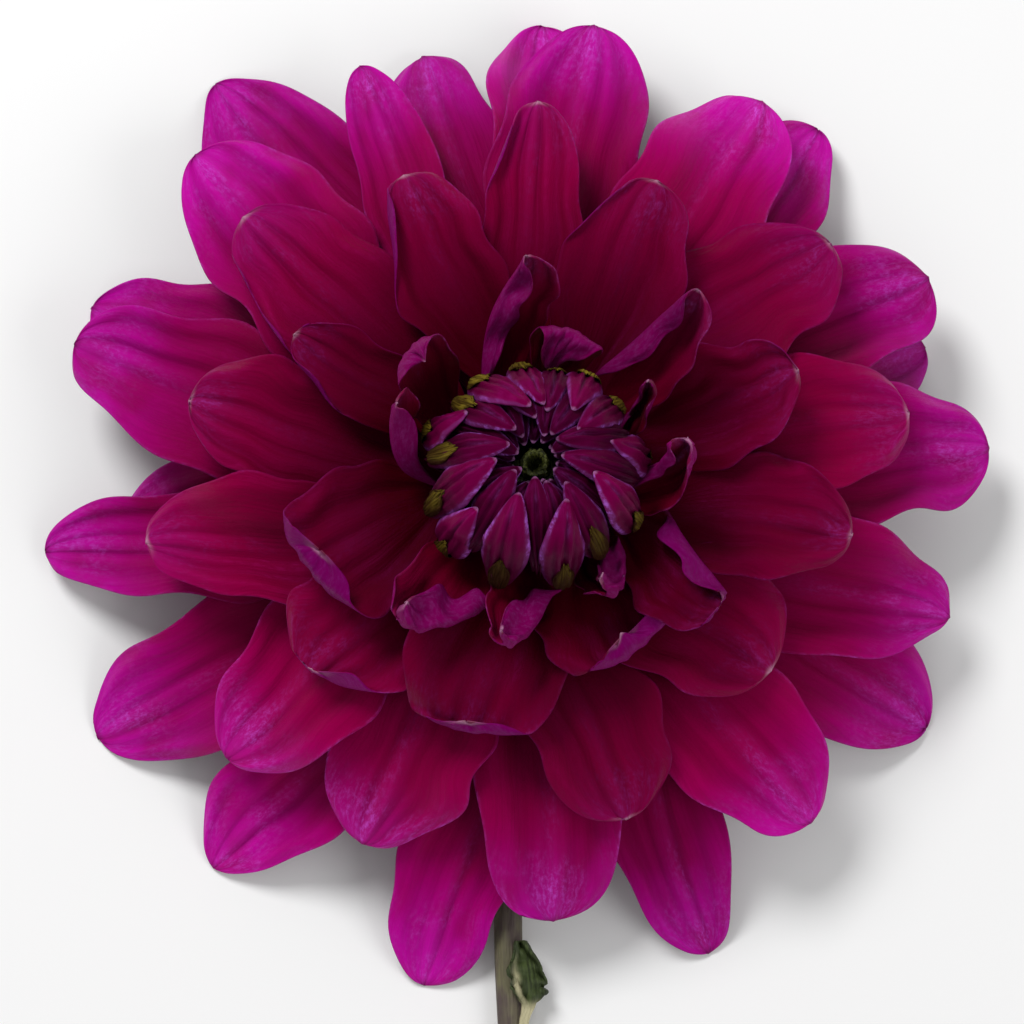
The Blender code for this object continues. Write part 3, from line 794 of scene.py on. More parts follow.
        return Surface.sheet(middle, thickness, self.marks(petal, seed, t, s, flat_length, middle, folded))

    def marks(self, petal: Petal, seed: int, t: np.ndarray, s: np.ndarray, length: float,
              middle: np.ndarray, folded: np.ndarray) -> Marks:
        """What the finish reads: the place in the tissue, the frosted parts with their painted highlights, the
        painted shade of the grooves, and the distance from the axis, towards which the colour darkens, partly
        as painted shade deep in the head.

        Args:
            petal: the petal.
            seed: its number.
            t: shares along.
            s: shares across.
            length: the flat petal's length.
            middle: the sheet's points.
            folded: how far each point is rolled over, in radians.

        Returns:
            The marks at every grid point.
        """
        tip = between(t, 0.74, 0.98) * (0.6 + 0.4 * bell(s, 0.0, 0.3))
        # painted highlight: a pale band on the ridge between the grooves, mixed in with the frost
        midrib = 0.3 * between(t, 0.4, 0.8) * bell(s, 0.0, 0.12)
        # painted highlight: a pale line along the bend of each fold, mixed in with the frost
        fold_highlight = 1.2 * bell(folded, 1.3, 0.4)
        margins = 0.9 * between(np.abs(s), 0.95, 1.0) * between(t, 0.35, 0.8)
        tone = np.random.default_rng(4000 + seed).uniform(0.0, 1.0)
        beside = 0.5 * petal.width * s * (1.0 - 0.4 * between(t, 0.6, 1.0))
        return {
            "place": np.stack([beside, np.full(t.shape, 7.0 * seed), length * t], axis=-1),
            "along": t,
            # distance from the axis: the finish darkens towards it, partly the petals' own colour and partly
            # painted shade deep in the head
            "outward": np.hypot(middle[..., 0], middle[..., 1]) / 60.0,
            "frost": tip + midrib + margins + fold_highlight,
            "nib": between(t, 0.98, 1.0) * bell(s, 0.0, 0.6),
            # painted shade in the grooves: the finish mixes the colour darker by their depth
            "crease": np.clip(self.creases(seed, t, s) * between(t, 0.4, 0.7), 0.0, 1.0),
            "tone": np.full(t.shape, tone),
        }

    def build(self, materials: dict[Row, bpy.types.Material]) -> None:
        """Lay and make every petal, each row with its own finish."""
        named = []
        for row, petals in PETAL_ROWS:
            named += [(row, f"{row.value}_{number:02d}", petal) for number, petal in enumerate(petals, 1)]
        petals = [petal for _, _, petal in named]
        laid = zip(named, self.foot_bearings(petals), self.pushes(petals))
        for seed, ((row, name, petal), foot, push) in enumerate(laid):
            surface = self.surface(petal, foot, push, seed)
            self.head.make_piece(name + "_sheet", surface, materials[row], row.slot, name)


@dataclass(frozen=True)
class Floret:
    """One closed floret: where its tip and its foot show from above, and how it sits in the button."""

    tip_bearing: float
    tip_radius: float
    foot_bearing: float
    foot_radius: float
    width: float
    depth: float = 0.0
    capped: bool = True


FLORETS = (
    Floret(94.0, 7.3, 122.0, 12.6, 4.3),
    Floret(82.0, 7.6, 98.0, 12.4, 3.8, 0.4),
    Floret(78.0, 6.9, 77.5, 11.6, 3.6, 1.0),
    Floret(56.0, 8.2, 61.0, 12.9, 4.4),
    Floret(40.0, 6.7, 40.0, 12.4, 4.0, 0.5),
    Floret(20.0, 9.6, 10.0, 13.0, 4.6, 0.2),
    Floret(354.0, 7.1, 335.0, 12.7, 4.7),
    Floret(332.0, 4.1, 309.0, 11.6, 4.3, 0.9),
    Floret(312.5, 5.6, 284.5, 12.8, 5.0),
    Floret(308.5, 2.1, 288.0, 10.4, 3.6, 1.6, False),
    Floret(267.3, 1.2, 272.0, 11.0, 3.9, 1.3, False),
    Floret(240.2, 3.9, 251.0, 13.0, 5.2),
    Floret(190.0, 2.4, 229.0, 11.2, 4.2, 1.0, False),
    Floret(216.3, 8.6, 218.8, 13.4, 4.8, -0.2),
    Floret(170.8, 4.7, 198.5, 12.8, 4.6, 0.2),
    Floret(139.4, 4.0, 172.0, 12.0, 4.0, 0.8),
    Floret(117.4, 5.0, 138.0, 12.3, 3.8, 0.8),
    Floret(22.7, 3.4, 357.0, 11.2, 4.0, 1.0, False),
    Floret(52.4, 4.1, 21.0, 11.0, 3.8, 1.1, False),
    Floret(63.8, 4.3, 57.0, 10.6, 3.6, 1.4, False),
    Floret(140.2, 10.6, 157.5, 13.6, 4.2, -0.6),
    Floret(140.0, 2.6, 152.0, 10.5, 3.2, 1.8, False),
    Floret(184.0, 1.6, 205.0, 10.5, 3.2, 1.9, False),
    Floret(357.0, 2.2, 330.0, 10.5, 3.2, 2.0, False),
    Floret(44.0, 2.7, 35.0, 10.0, 3.2, 2.0, False),
    Floret(74.0, 3.9, 80.0, 10.0, 3.4, 2.0, False),
    Floret(112.0, 3.9, 118.0, 10.0, 3.4, 2.0, False),
    Floret(89.0, 6.0, 110.0, 11.0, 3.4, 1.6, False),
    Floret(250.0, 1.8, 238.0, 10.5, 3.4, 2.1, False),
    Floret(300.0, 1.6, 300.0, 10.5, 3.2, 2.2, False),
)


@dataclass
class Button:
    """The closed florets of the middle, the chaff scales at their feet and the pit between their tips."""

    head: Head
    offset: float = -0.8
    outline: tuple[tuple[float, float], ...] = (
        (0.0, 42.4), (1.5, 43.0), (3.4, 43.4), (6.6, 43.1), (10.0, 41.4), (11.8, 39.2), (12.4, 37.0),
    )
    root: tuple[float, float] = (5.4, 25.8)
    waist: tuple[float, float] = (9.2, 31.4)
    middle_height: float = 33.0
    rows: int = 44
    columns: int = 23
    fullness: float = 1.14
    swell: float = 1.3
    rim: float = 0.06
    shown_share: float = 2.0
    pit_outline: tuple[tuple[float, float], ...] = (
        (0.05, 34.0), (1.2, 34.2), (1.7, 36.0), (1.75, 38.2), (1.6, 39.4), (1.3, 39.9), (1.0, 39.5),
        (0.85, 38.2), (0.05, 36.8),
    )
    pit_shift: float = 0.7
    young_count: int = 15
    young_reach: float = 2.5
    young_depths: tuple[float, ...] = (3.0, 3.8, 3.4)
    pit_rows: int = 40
    pit_columns: int = 64

    def young_florets(self) -> tuple[Floret, ...]:
        """The youngest florets, a whorl deep in the gaps round the pit."""
        florets = []
        for number in range(self.young_count):
            bearing = 360.0 * number / self.young_count
            tip_x = self.young_reach * math.cos(math.radians(bearing))
            tip_y = self.young_reach * math.sin(math.radians(bearing)) + self.pit_shift
            tip_bearing = math.degrees(math.atan2(tip_y, tip_x))
            depth = self.young_depths[number % len(self.young_depths)]
            florets.append(Floret(tip_bearing, math.hypot(tip_x, tip_y), bearing - 12.0, 10.2, 3.2, depth,
                                  False))
        return tuple(florets)

    def spine(self, floret: Floret) -> np.ndarray:
        """Middle line of a floret: up from the dome, over the shoulder and in to its tip."""
        radii, heights = zip(*self.outline)
        foot = math.radians(floret.foot_bearing)
        tip = math.radians(floret.tip_bearing)
        outward = np.array([math.cos(foot), math.sin(foot)])
        share = floret.foot_radius / radii[-1]
        start = outward * radii[-1] * min(share, 1.0)
        end = np.array([math.cos(tip), math.sin(tip)]) * floret.tip_radius
        route = [(*(outward * self.root[0] * share), self.root[1]),
                 (*(outward * self.waist[0] * share), self.waist[1]),
                 (*(outward * radii[-1] * share * 0.98), heights[-1] - 2.4)]
        for mix in (0.0, 0.33, 0.67, 1.0):
            plan = start + (end - start) * mix
            height = np.interp(np.hypot(*plan), radii, heights)
            route.append((*plan, height - floret.depth))
        run = np.linspace(0.0, 1.0, self.rows)
        points = smooth_route(np.array(route), 1.0 - (1.0 - run) ** 1.5)
        points[:, 1] += self.offset
        return points

    def left_along(self, spine: np.ndarray) -> np.ndarray:
        """Distance from each point of a middle line to its end."""
        steps = np.linalg.norm(np.diff(spine, axis=0), axis=1)
        return np.concatenate([np.cumsum(steps[::-1])[::-1], [0.0]])

    def axes(self, spine: np.ndarray) -> tuple[np.ndarray, np.ndarray]:
        """Directions out of the button and, to the left of the line's way to the tip, beside it."""
        tangent = unit(np.gradient(spine, axis=0))
        outward = spine - np.array([0.0, self.offset, self.middle_height])
        normal = unit(outward - np.sum(outward * tangent, axis=1, keepdims=True) * tangent)
        return normal, np.cross(normal, tangent)

    def half_width(self, floret: Floret, left: np.ndarray) -> np.ndarray:
        """Half the floret's width where this much is left: a pointed arch, narrower below the shoulder."""
        shown = self.shown_share * floret.width
        arch = np.clip(left / (0.62 * shown), 0.0, 1.0) ** 0.66
        foot = 1.0 - 0.6 * between(left, 0.75 * shown, 1.6 * shown)
        return 0.5 * self.fullness * floret.width * arch * foot + 0.05

    def arch(self, floret: Floret, left: np.ndarray, x: np.ndarray) -> np.ndarray:
        """Height of a floret's outer side before it is carved: an arch across that sinks to the tip."""
        swell = self.swell * (floret.width / 4.4) * np.clip(left / 3.4, 0.0, 1.0) ** 0.6
        return swell * (1.0 - np.abs(x) ** 2.4)

    def carving(self, left: np.ndarray, x: np.ndarray, skew: float) -> np.ndarray:
        """Relief of a floret's outer side: a groove between two ridges that forks towards the foot."""
        deep = between(left, 0.8, 3.5)
        fork = between(left, 3.0, 6.0) * bell(np.abs(x - skew), 0.45, 0.12)
        ridges = bell(x, skew - 0.25, 0.12) + bell(x, skew + 0.25, 0.12)
        rolled_rim = bell(np.abs(x), 0.86, 0.1)
        return deep * (0.14 * ridges - 0.5 * bell(x, skew, 0.12) - 0.34 * fork) + 0.16 * rolled_rim

    def floret(self, floret: Floret, seed: int) -> Surface:
        """Closed almond round the floret's middle line."""
        spine = self.spine(floret)
        left = self.left_along(spine)[:, None]
        normal, beside = self.axes(spine)
        draw = np.random.default_rng(6000 + seed)
        skew = draw.uniform(-0.12, 0.12)
        x = np.linspace(-1.0, 1.0, self.columns)
        x = np.sign(x) * (1.0 - (1.0 - np.abs(x)) ** 1.3)
        width = self.half_width(floret, left)
        arch = self.arch(floret, left, x)
        outer = arch + self.carving(left, x, skew) + 0.1 * undulation(6100 + seed, 0.4 * left, 1.5 * x)
        across = beside[:, None] * (width * x)[..., None]
        face = spine[:, None] + across + normal[:, None] * (outer + self.rim)[..., None]
        back = spine[:, None] + across - normal[:, None] * (0.5 * arch + self.rim)[..., None]
        shown = self.shown_share * floret.width
        share = 1.0 - np.clip(left / shown, 0.0, 1.0) + 0.0 * x
        rim = bell(np.abs(x), 0.94, 0.08) * (1.0 - 0.7 * between(left, 0.7 * shown, 1.1 * shown))
        ridge = 0.3 * bell(x, skew, 0.2) * between(left, 0.5, 2.0) * (1.0 - between(left, 3.0, 5.5))
        return Surface.shell(face, back, {
            "place": np.stack([width * x, np.full(share.shape, 5.0 * seed), left + 0.0 * x], axis=-1),
            # painted shade: the floret darkens towards its foot and, by its depth, where it sits lower in the
            # button; a deeper floret's frosted rim is dimmed the same way
            "along": 0.3 + 0.7 * share,
            "outward": np.full(share.shape, 0.55 - 0.12 * max(floret.depth, 0.0)),
            "frost": (2.4 * rim + ridge) / (1.0 + 0.4 * max(floret.depth, 0.0)),
            "nib": 0.7 * (1.0 - between(left, 0.08, 0.4)) + 0.0 * x,
            # painted shade in the floret's grooves
            "crease": np.clip(-2.0 * self.carving(left, x, skew), 0.0, 1.0),
            "tone": np.full(share.shape, draw.uniform(0.0, 1.0)),
        })

    def chaff(self, floret: Floret, seed: int) -> Surface:
        """Thin scale over a floret's foot, rounded towards the floret's tip and fringed."""
        spine = self.spine(floret)
        lengths = self.left_along(spine)
        normal, beside = self.axes(spine)
        shown = self.shown_share * floret.width
        t = np.linspace(0.0, 1.0, 26)[:, None]
        s = np.linspace(-1.0, 1.0, 31)
        draw = np.random.default_rng(6200 + seed)
        reach = draw.uniform(0.7, 0.8)
        fringe = 0.05 * undulation(6300 + seed, 9.0 * s, 9.0 * s)
        left = shown * (1.35 + (reach - 1.35) * t * (1.0 - 0.15 * s ** 2 + fringe * t ** 4))
        upper = math.sin(math.radians(floret.foot_bearing))
        x = (0.76 + 0.14 * upper) * s * np.maximum(1.0 - t ** 3.0, 0.1) ** 0.5
        at, out, side = (np.array([np.interp(-left, -lengths, line[:, axis]) for axis in range(3)])
                         for line in (spine, normal, beside))
        fibres = 0.05 * np.cos(24.0 * s + 3.0 * t) + 0.08 * undulation(6400 + seed, 2.0 * t, 3.0 * s)
        lift = self.arch(floret, left, x) + 0.22 + fibres
        middle = np.moveaxis(at + side * (self.half_width(floret, left) * x) + out * lift, 0, -1)
        # painted shade: darker on the button's lower side, towards the scale's foot and towards its margins,
        # mixed by tone towards Pale
        shade = 0.38 - 0.38 * upper + draw.uniform(-0.1, 0.05)
        return Surface.sheet(middle, np.full(x.shape, 0.12), {
            "place": np.stack([3.0 * x, np.full(x.shape, 5.0 * seed), left], axis=-1),
            "along": t + 0.0 * s,
            "tone": np.clip(shade + 0.5 * (1.0 - t) + 0.5 * between(np.abs(s), 0.5, 1.0), 0.0, 1.0),
        })

    def pit(self) -> Surface:
        """Crumpled green middle, still shut: a turned outline with unevenness."""
        rings = turned(list(self.pit_outline), self.pit_rows, self.pit_columns)
        angle = np.linspace(0.0, 2.0 * math.pi, self.pit_columns, endpoint=False)
        rows = np.linspace(0.0, 1.0, self.pit_rows)[:, None]
        lumps = undulation(6500, 9.0 * rows, 3.0 * np.cos(angle)) + undulation(6501, 7.0 * rows,
                                                                               3.0 * np.sin(angle))
        rings = rings * (1.0 + 0.08 * lumps[..., None] * np.array([1.0, 1.0, 0.0]))
        rings[..., 2] += 0.3 * lumps * between(rows, 0.4, 0.7)
        rings[..., 1] += self.offset + self.pit_shift
        return Surface.tube(rings, {
            "place": rings - np.array([0.0, 0.0, 40.0]),
            "along": rows + 0.0 * angle,
            "tone": np.full(rings.shape[:2], 0.2),
        })

    def build(self, tissue: bpy.types.Material, scales: bpy.types.Material, pit: bpy.types.Material) -> None:
        """Make the florets, the chaff scales and the pit, each with its finish."""
        numbered = list(enumerate(FLORETS + self.young_florets()))
        florets = Surface.joined([self.floret(floret, seed) for seed, floret in numbered])
        chaff = Surface.joined([self.chaff(floret, seed) for seed, floret in numbered if floret.capped])
        self.head.make_piece("closed_florets_tissue", florets, tissue, "closed_florets", "closed_florets")
        self.head.make_piece("chaff_scales", chaff, scales, "closed_florets", "closed_florets")
        self.head.make_piece("unopened_pit", self.pit(), pit, "closed_florets", "closed_florets")


@dataclass
class Base:
    """The receptacle that carries the florets, and the calyx of bracts that wraps its lower half."""

    head: Head
    wall: float = 1.0
    foot_height: float = 9.1
    neck: float = 3.1
    cup_polars: tuple[float, ...] = (111.0, 122.0, 133.0, 144.0, 156.0)
    bract_count: int = 8
    bract_width: float = 10.5
    bract_polars: tuple[float, float] = (146.0, 111.5)
    rows: int = 60
    columns: int = 96

    def receptacle(self) -> Surface:
        """The dome, flat on top, with the faint dimples of the florets' seats."""
        head = self.head
        top = math.degrees(math.acos((head.dome_top - head.dome_height) / head.dome_radius))
        outline = [(head.dome_radius * math.sin(a), head.dome_height + head.dome_radius * math.cos(a))
                   for a in np.radians(np.linspace(179.7, top, 30))]
        outline += [(radius, head.dome_top) for radius in (7.0, 4.0, 1.5, 0.05)]
        rings = turned(outline, self.rows, self.columns)
        angle = np.linspace(0.0, 2.0 * math.pi, self.columns, endpoint=False)
        dimples = 1.0 - 0.006 * np.cos(1.2 * np.arange(self.rows))[:, None] * np.cos(24.0 * angle)
        rings[..., :2] *= dimples[..., None]
        return Surface.tube(rings, self.marks(rings))

    def cup(self) -> Surface:
        """The calyx's cup and the collar round the neck of the stem."""
        head = self.head
        inner = head.dome_radius + head.gap
        outline = [(self.neck, self.foot_height), (self.neck + self.wall, self.foot_height)]
        for radius, polars in ((inner + self.wall, self.cup_polars[::-1]), (inner, self.cup_polars)):
            outline += [(radius * math.sin(a), head.dome_height + radius * math.cos(a))
                        for a in np.radians(polars)]
        outline.append(outline[0])
        rings = turned(outline, self.rows, self.columns)[:-1]
        return Surface.tube(rings, self.marks(rings), looped=True)

    def marks(self, points: np.ndarray) -> Marks:
        """Marks for a turned piece: its own place and its height."""
        height = (points[..., 2] - points[..., 2].min()) / np.ptp(points[..., 2])
        return {"place": points, "along": height, "tone": np.full(height.shape, 0.2)}

    def bract(self, number: int) -> Surface:
        """One broad bract that hugs the cup, with a ridge down its middle and a thin margin."""
        t = np.linspace(0.0, 1.0, 24)[:, None]
        s = np.linspace(1.0, -1.0, 17)
        polar = np.radians(self.bract_polars[0] + (self.bract_polars[1] - self.bract_polars[0]) * t)
        half = 0.5 * self.bract_width * np.sin(0.5 * math.pi * np.clip(0.35 + 0.9 * t, 0.0, 1.0))
        half = half * (1.0 - t ** 3) ** 0.5 + 0.15
        bearing = 2.0 * math.pi * number / self.bract_count + half * s / (self.head.dome_radius * np.sin(polar))
        lift = self.wall + 0.45 + 0.25 * bell(s, 0.0, 0.2) + 0.22 * (number % 2) + 0.2 * s * (1.0 - t)
        distance = self.head.dome_radius + self.head.gap + lift
        middle = np.stack([
            distance * np.sin(polar) * np.cos(bearing),
            distance * np.sin(polar) * np.sin(bearing),
            self.head.dome_height + distance * np.cos(polar) + 0.0 * s,
        ], axis=-1)
        thickness = 0.4 - 0.25 * between(np.abs(s), 0.6, 1.0) + 0.0 * t
        place = np.stack([half * s, np.full(thickness.shape, 5.0 * number), 12.0 * t + 0.0 * s], axis=-1)
        return Surface.sheet(middle, thickness, {
            "place": place, "along": t + 0.0 * s, "tone": np.full(thickness.shape, 0.1 + 0.3 * (number % 2)),
        })

    def build(self, receptacle: bpy.types.Material, calyx: bpy.types.Material) -> None:
        """Make the receptacle and the calyx, each with its finish."""
        bracts = [self.bract(number) for number in range(self.bract_count)]
        self.head.make_piece("receptacle_dome", self.receptacle(), receptacle, "receptacle", "receptacle")
        self.head.make_piece("calyx_bracts", Surface.joined([self.cup()] + bracts), calyx, "calyx", "calyx")


@dataclass
class Stem:
    """The cut stem, which lies on the surface and bends up under the head, and its small leaf."""

    head: Head
    route: tuple[tuple[float, float, float], ...] = (
        (0.0, 0.0, 11.1), (0.0, -0.2, 9.4), (-0.1, -1.6, 7.2), (-0.3, -4.4, 4.4), (-0.8, -9.0, 2.4),
        (-1.4, -15.0, 1.8), (-2.6, -30.0, 1.78), (-3.2, -45.0, 1.78), (-3.2, -58.0, 1.78),
        (-2.6, -72.0, 1.78), (-2.2, -86.0, 1.78), (-2.6, -98.0, 1.78),
    )
    radius: float = 1.8
    neck_radius: float = 2.45
    neck_length: float = 11.0
    rows: int = 260
    columns: int = 40
    ridges: int = 9
    ridge_height: float = 0.05
    leaf_spine: tuple[tuple[float, float, float], ...] = (
        (-1.7, -68.8, 3.2), (-1.3, -65.8, 3.4), (-0.6, -62.8, 3.8), (-0.9, -59.0, 4.0), (-1.6, -55.6, 4.3),
    )
    leaf_shares: tuple[float, ...] = (0.0, 0.3, 0.4, 0.48, 0.6, 0.75, 0.9, 1.0)
    leaf_half_widths: tuple[float, ...] = (0.4, 0.55, 0.8, 2.0, 2.7, 2.5, 1.9, 0.8)
    leaf_length: float = 13.4
    leaf_rows: int = 90
    leaf_columns: int = 49
    leaf_thickness: float = 0.3
    rib_at: float = -0.62

    def stalk(self) -> Surface:
        """Round stem with low ridges, thicker under the head, and a flat cut at its end.

        Each ring lies square to the line, and its radius is the stem's plus a wave for the ridges.

        Returns:
            The closed tube.
        """
        line = smooth_route(np.array(self.route), np.linspace(0.0, 1.0, self.rows))
        line[:, 2] = np.maximum(line[:, 2], self.route[-1][2])
        run = np.concatenate([[0.0], np.cumsum(np.linalg.norm(np.diff(line, axis=0), axis=1))])[:, None]
        tangent = unit(np.gradient(line, axis=0))
        up = unit(np.cross(tangent, np.array([1.0, 0.0, 0.0])))
        side = np.cross(up, tangent)
        angle = np.linspace(0.0, 2.0 * math.pi, self.columns, endpoint=False)
        radius = self.radius + (self.neck_radius - self.radius) * (1.0 - between(run, 0.0, self.neck_length))
        wave = np.cos(self.ridges * angle + 0.02 * run) + 0.6 * undulation(7000, 0.05 * run, np.cos(angle))
        radius = radius + self.ridge_height * (wave - 1.0)
        ring = side[:, None] * np.cos(angle)[:, None] + up[:, None] * np.sin(angle)[:, None]
        rings = line[:, None] + radius[..., None] * ring
        cut = [line[-1] + share * (rings[-1] - line[-1]) for share in (0.97, 0.8, 0.5, 0.2, 0.03)]
        rings = np.concatenate([rings, np.array(cut)])
        rings[..., 2] = np.maximum(rings[..., 2], 0.02 - self.head.z)
        run = np.concatenate([run, np.full((len(cut), 1), run[-1, 0])]) + 0.0 * angle
        is_cut = np.zeros((len(rings), 1))
        is_cut[-len(cut):] = 1.0
        round_it = [self.radius * np.cos(angle) + 0.0 * run, self.radius * np.sin(angle) + 0.0 * run]
        return Surface.tube(rings, {
            "place": np.stack(round_it + [run], axis=-1),
            "along": run / run.max(),
            "tone": is_cut,
        })

    def leaf(self) -> Surface:
        """Small crumpled leaf: its stalk leaves the stem's side and its blade lies half over the stem.

        The blade tilts across its line and crumples in waves that grow towards its end.

        Returns:
            The closed sheet.
        """
        t = np.linspace(0.0, 1.0, self.leaf_rows)[:, None]
        s = np.linspace(-1.0, 1.0, self.leaf_columns)
        spine = smooth_route(np.array(self.leaf_spine), t[:, 0])[:, None]
        widths = np.interp(t, self.leaf_shares, self.leaf_half_widths)
        blade = between(t, 0.35, 0.55)
        side = widths * (1.0 + 0.14 * blade * undulation(7100, 6.0 * t, np.sign(s))) * s
        middle = spine + np.zeros((self.leaf_rows, self.leaf_columns, 3))
        middle[..., 0] += side * (1.0 - 0.12 * blade * s ** 2)
        middle[..., 1] += 0.5 * blade * np.abs(side) * np.sin(6.0 * t)
        crumple = 0.45 * np.cos(11.0 * t + 3.0 * s) + 0.45 * undulation(7200, 6.0 * t, 1.8 * s)
        rib = bell(s, self.rib_at, 0.16)
        middle[..., 2] += blade * (crumple * (1.0 - rib) + 0.5 * rib) - 0.45 * side
        thickness = self.leaf_thickness + 0.3 * (1.0 - blade) + 0.0 * side
        length = self.leaf_length * t + 0.0 * s
        return Surface.sheet(middle, thickness, {
            "place": np.stack([side, np.full(side.shape, 90.0), length], axis=-1),
            "along": t + 0.0 * s,
            "tone": 1.0 - between(t, 0.33, 0.47) + 0.8 * blade * rib * (1.0 - between(t, 0.6, 0.95)),
        })

    def build(self, stalk: bpy.types.Material, leaf: bpy.types.Material) -> None:
        """Make the stem and the leaf, each with its finish."""
        self.head.make_piece("stem_stalk", self.stalk(), stalk, "stem", "stem")
        self.head.make_piece("stem_leaf_blade", self.leaf(), leaf, "stem_leaf", "stem_leaf")


def linear(colour: Colour) -> tuple[float, float, float, float]:
    """A screen colour from 0 to 255 as linear light: the value to the power 2.2, with full opacity."""
    red, green, blue = ((value / 255.0) ** 2.2 for value in colour)
    return red, green, blue, 1.0


class Graph:
    """The nodes of one tree, with short ways to add and join them."""

    def __init__(self, tree: bpy.types.NodeTree) -> None:
        """Start from an empty tree."""
        self.tree = tree
        tree.nodes.clear()

    def node(self, kind: str, **settings: object) -> bpy.types.Node:
        """Add a node and set its properties."""
        node = self.tree.nodes.new(kind)
        for name, value in settings.items():
            setattr(node, name, value)
        return node

    def feed(self, socket: bpy.types.NodeSocket, value: object) -> None:
        """Join a socket to another one, or set it to a value."""
        if isinstance(value, bpy.types.NodeSocket):
            self.tree.links.new(value, socket)
        else:
            socket.default_value = value

    def mark(self, name: str, output: str = "Fac") -> bpy.types.NodeSocket:
        """One of the surface's marks, as a number or a vector."""
        return self.node("ShaderNodeAttribute", attribute_name=name).outputs[output]

    def math(self, operation: str, *values: object) -> bpy.types.NodeSocket:
        """Result of one sum, product or the like, kept between 0 and 1."""
        node = self.node("ShaderNodeMath", operation=operation, use_clamp=True)
        for socket, value in zip(node.inputs, values):
            self.feed(socket, value)
        return node.outputs[0]

    def step(self, value: bpy.types.NodeSocket, start: float, end: float,
             low: float = 0.0, high: float = 1.0) -> bpy.types.NodeSocket:
        """Smooth step of a value from low at start to high at end."""
        node = self.node("ShaderNodeMapRange", interpolation_type="SMOOTHSTEP")
        for name, number in (("From Min", start), ("From Max", end), ("To Min", low), ("To Max", high)):
            node.inputs[name].default_value = number
        self.feed(node.inputs["Value"], value)
        return node.outputs["Result"]

    def mix(self, share: object, first: object, second: object) -> bpy.types.NodeSocket:
        """Mixture of two colours: the first at 0, the second at 1."""
        node = self.node("ShaderNodeMix", data_type="RGBA")
        self.feed(node.inputs[0], share)
        self.feed(node.inputs[6], first)
        self.feed(node.inputs[7], second)
        return node.outputs[2]

    def noise(self, stretch: tuple[float, float, float], detail: float,
              roughness: float = 0.55) -> bpy.types.NodeSocket:
        """Noise in the tissue's own place, with this many cells to a millimetre along each axis."""
        place = self.node("ShaderNodeVectorMath", operation="MULTIPLY")
        self.feed(place.inputs[0], self.mark("place", "Vector"))
        place.inputs[1].default_value = stretch
        node = self.node("ShaderNodeTexNoise")
        node.inputs["Scale"].default_value = 1.0
        node.inputs["Detail"].default_value = detail
        node.inputs["Roughness"].default_value = roughness
        self.feed(node.inputs["Vector"], place.outputs[0])
        return node.outputs["Fac"]


